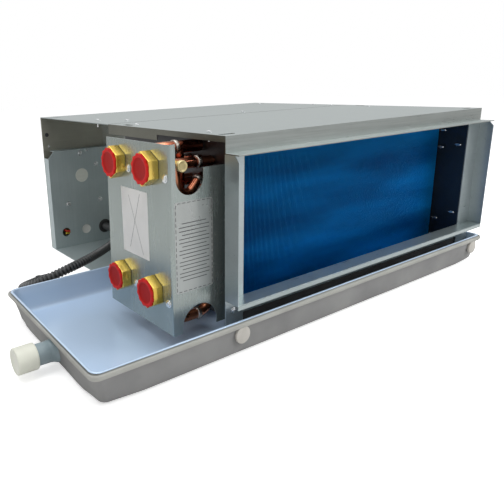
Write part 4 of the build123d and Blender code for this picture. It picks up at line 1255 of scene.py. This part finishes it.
def flat_plate(centre, size, thickness, corner, facing):
    """A thin plate with rounded corners that faces along minus X or minus Y."""
    width, height = size
    deselect()
    bpy.ops.mesh.primitive_plane_add(size=1, location=(0, 0, 0))
    plate = bpy.context.object
    plate.scale = (width, height, 1)
    settle(plate)
    edit(plate)
    bpy.ops.mesh.select_all(action="SELECT")
    if corner:
        bpy.ops.mesh.bevel(offset=corner, segments=4, affect="VERTICES")
    bpy.ops.mesh.extrude_region_move(TRANSFORM_OT_translate={"value": (0, 0, thickness)})
    close_edit(plate)
    plate.rotation_euler = (math.pi / 2, 0, -math.pi / 2 if facing == "X" else 0)
    plate.location = centre
    return settle(plate)


def add_lines(label, lines, place, facing):
    """Thin printed lines on a label, each from its middle, size and slope."""
    marks = []
    for across, up, width, height, slope in lines:
        mark = flat_plate((0, 0, 0), (width, height), 0.00004, 0, "Y")
        mark.rotation_euler = (0, slope, 0)
        mark.location = (across, -0.00012, up)
        settle(mark)
        mark.rotation_euler = (0, 0, -math.pi / 2 if facing == "X" else 0)
        mark.location = place
        mark.data.materials.append(label_ink)
        marks.append(settle(mark))
    return join([label] + marks, label.name)


paper_place = at(-64, 89.4, 151.5)
paper_label = flat_plate(paper_place, (0.0587, 0.081), 0.0001, 0.0006, "X")
paper_label.data.materials.append(paper)
crossing_lines = [(0, 0.002, 0.0005, 0.074, 0.36), (0.002, -0.002, 0.0005, 0.074, -0.40)]
paper_label = add_lines(paper_label, crossing_lines, paper_place, "X")
hand_in(paper_label, "paper_label", None)

silver_place = at(-32.5, 15, 134.5)
silver_label = flat_plate(silver_place, (0.053, 0.105), 0.0001, 0.003, "Y")
silver_label.data.materials.append(silver_film)
dashes = []
for number in range(15):
    for side in (-1, 1):
        dashes.append((side * 0.0250, -0.0476 + number * 0.0068, 0.0008, 0.0044, 0))
for number in range(7):
    for side in (-1, 1):
        dashes.append((-0.0204 + number * 0.0068, side * 0.0509, 0.0044, 0.0008, 0))
for number in range(16):
    dashes.append((0, 0.028 - number * 0.0044, 0.042 if number % 3 else 0.034, 0.0009, 0))
silver_label = add_lines(silver_label, dashes, silver_place, "Y")
hand_in(silver_label, "silver_label", None)

# %% [markdown]
# The control box shows a knocked out disc, a hole with two wires behind it and the head
# of a rivet here and there. The wires run inside the box, from one hole to the other.

# %% Control box details
DISC_STEPS = [
    (0.0004, 0.0090), (0.0001, 0.0120), (0, 0.0129), (0.0002, 0.0133), (0.0008, 0.0133),
]
KEY_STEPS = [(0.0002, 0.0092), (0, 0.0096), (0.0004, 0.0100), (0.0010, 0.0100)]
RED_LEAD = [
    (22.9, 510, 36), (24, 506, 34), (30, 505.6, 32), (46, 507.5, 33), (62, 509, 34),
    (69, 509.4, 33),
]
YELLOW_LEAD = [
    (30, 510, 33), (27, 506, 29), (24, 506.4, 28), (36, 508.5, 27.6), (56, 509.4, 29),
    (69, 509.6, 30),
]
LEAD_RADIUS = 0.0018
RIVET_STEPS = [
    (0.0, 0.0012), (0.0002, 0.0020), (0.0008, 0.0024), (0.0012, 0.0025), (0.0013, 0.0016),
    (0.0030, 0.0016),
]
RIVETS = [(11.5, 520.4, 199), (80, 501.8, 187)]
LANCES = [(40.6, 219), (41.8, 191), (14, 197), (12.4, 84), (39.8, 69), (41.9, 40)]
PLUG_STEPS = [(0, 0.0030), (0.0004, 0.0038), (0.0008, 0.0038), (0.0012, 0.0024), (0.0026, 0.0024)]
GROMMET_STEPS = [
    (0.006, 0.0076), (0.0, 0.0078), (0.0, 0.0110), (0.0005, 0.0125), (0.0018, 0.0138),
    (0.0024, 0.0138), (0.0025, 0.0118), (0.0034, 0.0116), (0.0037, 0.0130), (0.0056, 0.0124),
    (0.0062, 0.0108),
]
# The pale disc finish is a painted reflection.
disc = turned(at(66, 502.2, 140), "Y", DISC_STEPS)
hand_in(disc, "knocked_out_disc", disc_glare_zinc, "unit", ["knock_out_disc"])
key_plate = turned(at(68, 504.5, 29.6), "Y", KEY_STEPS)
key_tab = block(at(66.9, 504.55, 17.8), at(69.1, 505.4, 20.6))
key_plate = join([key_plate, key_tab], "key_plate")
hand_in(key_plate, "key_hole_plate", white_plastic)
red_lead = pipe(RED_LEAD, LEAD_RADIUS)
yellow_lead = pipe(YELLOW_LEAD, LEAD_RADIUS)
red_lead.data.materials.append(wire_red)
yellow_lead.data.materials.append(wire_yellow)
leads = join([red_lead, yellow_lead], "box_leads")
hand_in(leads, "box_leads", None, "unit", ["box_wires"])
rivets = [turned(at(*point), "Y", RIVET_STEPS, 20) for point in RIVETS]
# The lances are raised tabs of the dark right end plate. They get the bright screw steel, which is
# a painted highlight on each tab.
for depth, height in LANCES:
    place = at(508.6, depth, height)
    lance = turned(place, "X", RIVET_STEPS, 20)
    edit(lance)
    bpy.ops.mesh.select_all(action="SELECT")
    bpy.ops.transform.resize(value=(1, 2.2, 0.8), center_override=tuple(place))
    close_edit(lance)
    rivets.append(lance)
hand_in(join(rivets, "rivets"), "rivets_and_lit_lances", plated_steel)
flange_plug = turned(at(8.75, 520.8, 221), "Y", PLUG_STEPS, 24)
hand_in(flange_plug, "flange_plug", motor_enamel)
grommet = turned(at(109.5, 500.5, 30), "Y", GROMMET_STEPS)
hand_in(grommet, "moulded_grommet", black_rubber, "unit", ["cable_grommet"])

# %% [markdown]
# A small air vent stands on the front upper pipe. Its head faces the front, so that a
# person with a screwdriver can open it.

# %% Air vent
VENT_HEAD_STEPS = [
    (-0.0002, 0.0046), (-0.0006, 0.0058), (-0.0004, 0.0064), (0.0002, 0.0067), (0.0036, 0.0067),
    (0.0042, 0.0060), (0.0050, 0.0030), (0.0118, 0.0028),
]
VENT_BODY_STEPS = [
    (0, 0.0040), (0.0004, 0.0052), (0.0052, 0.0052), (0.0056, 0.0045), (0.0066, 0.0045),
    (0.0072, 0.0052), (0.0120, 0.0052),
]
vent_head = turned(at(-33, 33.5, 221.5), "Y", VENT_HEAD_STEPS, 40)
edit(vent_head)
pick(vent_head, "FACE", lambda face: face.normal.y < -0.9 and len(face.vertices) > 8)
bpy.ops.mesh.inset(thickness=0.0004)
bpy.ops.transform.translate(value=(0, 0.0003, 0))
close_edit(vent_head)
hand_in(vent_head, "air_vent_head", pale_brass, "vent_knob_body", ["air_vent_knob"])
vent_body = turned(at(-33, 39.5, 221.5), "Y", VENT_BODY_STEPS, 6)
hand_in(vent_body, "air_vent_socket", brass, "unit", ["air_vent_body"])

# %% [markdown]
# The black conduit leaves the control box by a rubber grommet, arches over the floor
# sheet, passes behind the pan and curls down to the floor. It is a corrugated plastic
# hose, so it is a tube with ribs that follow one smooth curve. The curve is a NURBS
# spline with a few control points, which is how a stiff hose bends.

# %% Conduit
CONDUIT_ROUTE = [
    (109.5, 500.5, 30), (109.5, 452, 30), (88, 401, 37), (50, 353, 43), (6, 312, 47),
    (-44, 275, 50), (-94, 258, 47), (-128, 278, 30), (-138, 312, 14.5), (-123, 340, 7.4),
    (-97, 349, 7.4),
]
CONDUIT_RADIUS = 0.007
CONDUIT_SIDES = 20
RIB_STEP = 0.0056
RIB_PROFILE = (1.0, 1.0, 0.80, 0.80)
FITTING_STEPS = [
    (0, 0.0072), (0.0004, 0.0076), (0.006, 0.0076), (0.0064, 0.0068), (0.021, 0.0068),
    (0.0216, 0.0062), (0.0216, 0.0050), (0.014, 0.0048),
]


def points_along(path, step):
    """Evenly spaced points and the whole length, read from a curve object."""
    shape = bpy.data.meshes.new_from_object(path)
    line = [vertex.co.copy() for vertex in shape.vertices]
    bpy.data.meshes.remove(shape)
    gaps = [(after - before).length for before, after in zip(line, line[1:])]
    whole = sum(gaps)
    count = int(round(whole / step))
    spots = []
    index, walked = 0, 0.0
    for number in range(count + 1):
        goal = whole * number / count
        while index < len(gaps) - 1 and walked + gaps[index] < goal:
            walked += gaps[index]
            index += 1
        part = (goal - walked) / gaps[index]
        spots.append(line[index].lerp(line[index + 1], min(max(part, 0), 1)))
    return spots, whole


def ribbed_tube(name, spots, radii, sides):
    """A tube of rings round a line of points, one radius for each."""
    vertices = []
    faces = []
    side = Vector((0, 0, 1))
    for index, spot in enumerate(spots):
        before = spots[max(index - 1, 0)]
        after = spots[min(index + 1, len(spots) - 1)]
        along = (after - before).normalized()
        side = (side - along * side.dot(along)).normalized()
        across = along.cross(side)
        for step in range(sides):
            angle = 2 * math.pi * step / sides
            outward = side * math.cos(angle) + across * math.sin(angle)
            vertices.append(spot + outward * radii[index])
    for index in range(len(spots) - 1):
        for step in range(sides):
            near = index * sides + step
            beside = index * sides + (step + 1) % sides
            faces.append((near, beside, beside + sides, near + sides))
    faces.append(tuple(reversed(range(sides))))
    faces.append(tuple(range((len(spots) - 1) * sides, len(spots) * sides)))
    mesh = bpy.data.meshes.new(name)
    mesh.from_pydata([tuple(vertex) for vertex in vertices], [], faces)
    tube = bpy.data.objects.new(name, mesh)
    bpy.context.scene.collection.objects.link(tube)
    return tube


conduit_fitting = turned(at(-99.4, 349.5, 7.8), "X", FITTING_STEPS)
hand_in(
    conduit_fitting, "conduit_fitting", black_plastic, "unit", ["conduit_end"]
)
conduit_path = nurbs_path("conduit_path", CONDUIT_ROUTE, 24)
spots, conduit_length = points_along(conduit_path, RIB_STEP / len(RIB_PROFILE))
radii = [
    CONDUIT_RADIUS * RIB_PROFILE[index % len(RIB_PROFILE)] for index in range(len(spots))
]
# The crest mask marks the rib crests for their painted highlight.
crest_highlight_mask = [float(radius == CONDUIT_RADIUS) for radius in radii for side in range(CONDUIT_SIDES)]
conduit = ribbed_tube("corrugated_conduit", spots, radii, CONDUIT_SIDES)
crest_highlights = conduit.data.attributes.new("crest_highlight", "FLOAT", "POINT")
crest_highlights.data.foreach_set("value", crest_highlight_mask)
conduit.data.materials.append(conduit_plastic)
bpy.data.objects.remove(conduit_path)
edit(conduit)
bpy.ops.mesh.select_all(action="SELECT")
bpy.ops.mesh.normals_make_consistent(inside=False)
bpy.ops.object.mode_set(mode="OBJECT")
smooth(conduit, 40)
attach(conduit, "unit")
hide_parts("conduit")
print("conduit length", round(conduit_length, 4), "faces", len(conduit.data.polygons))
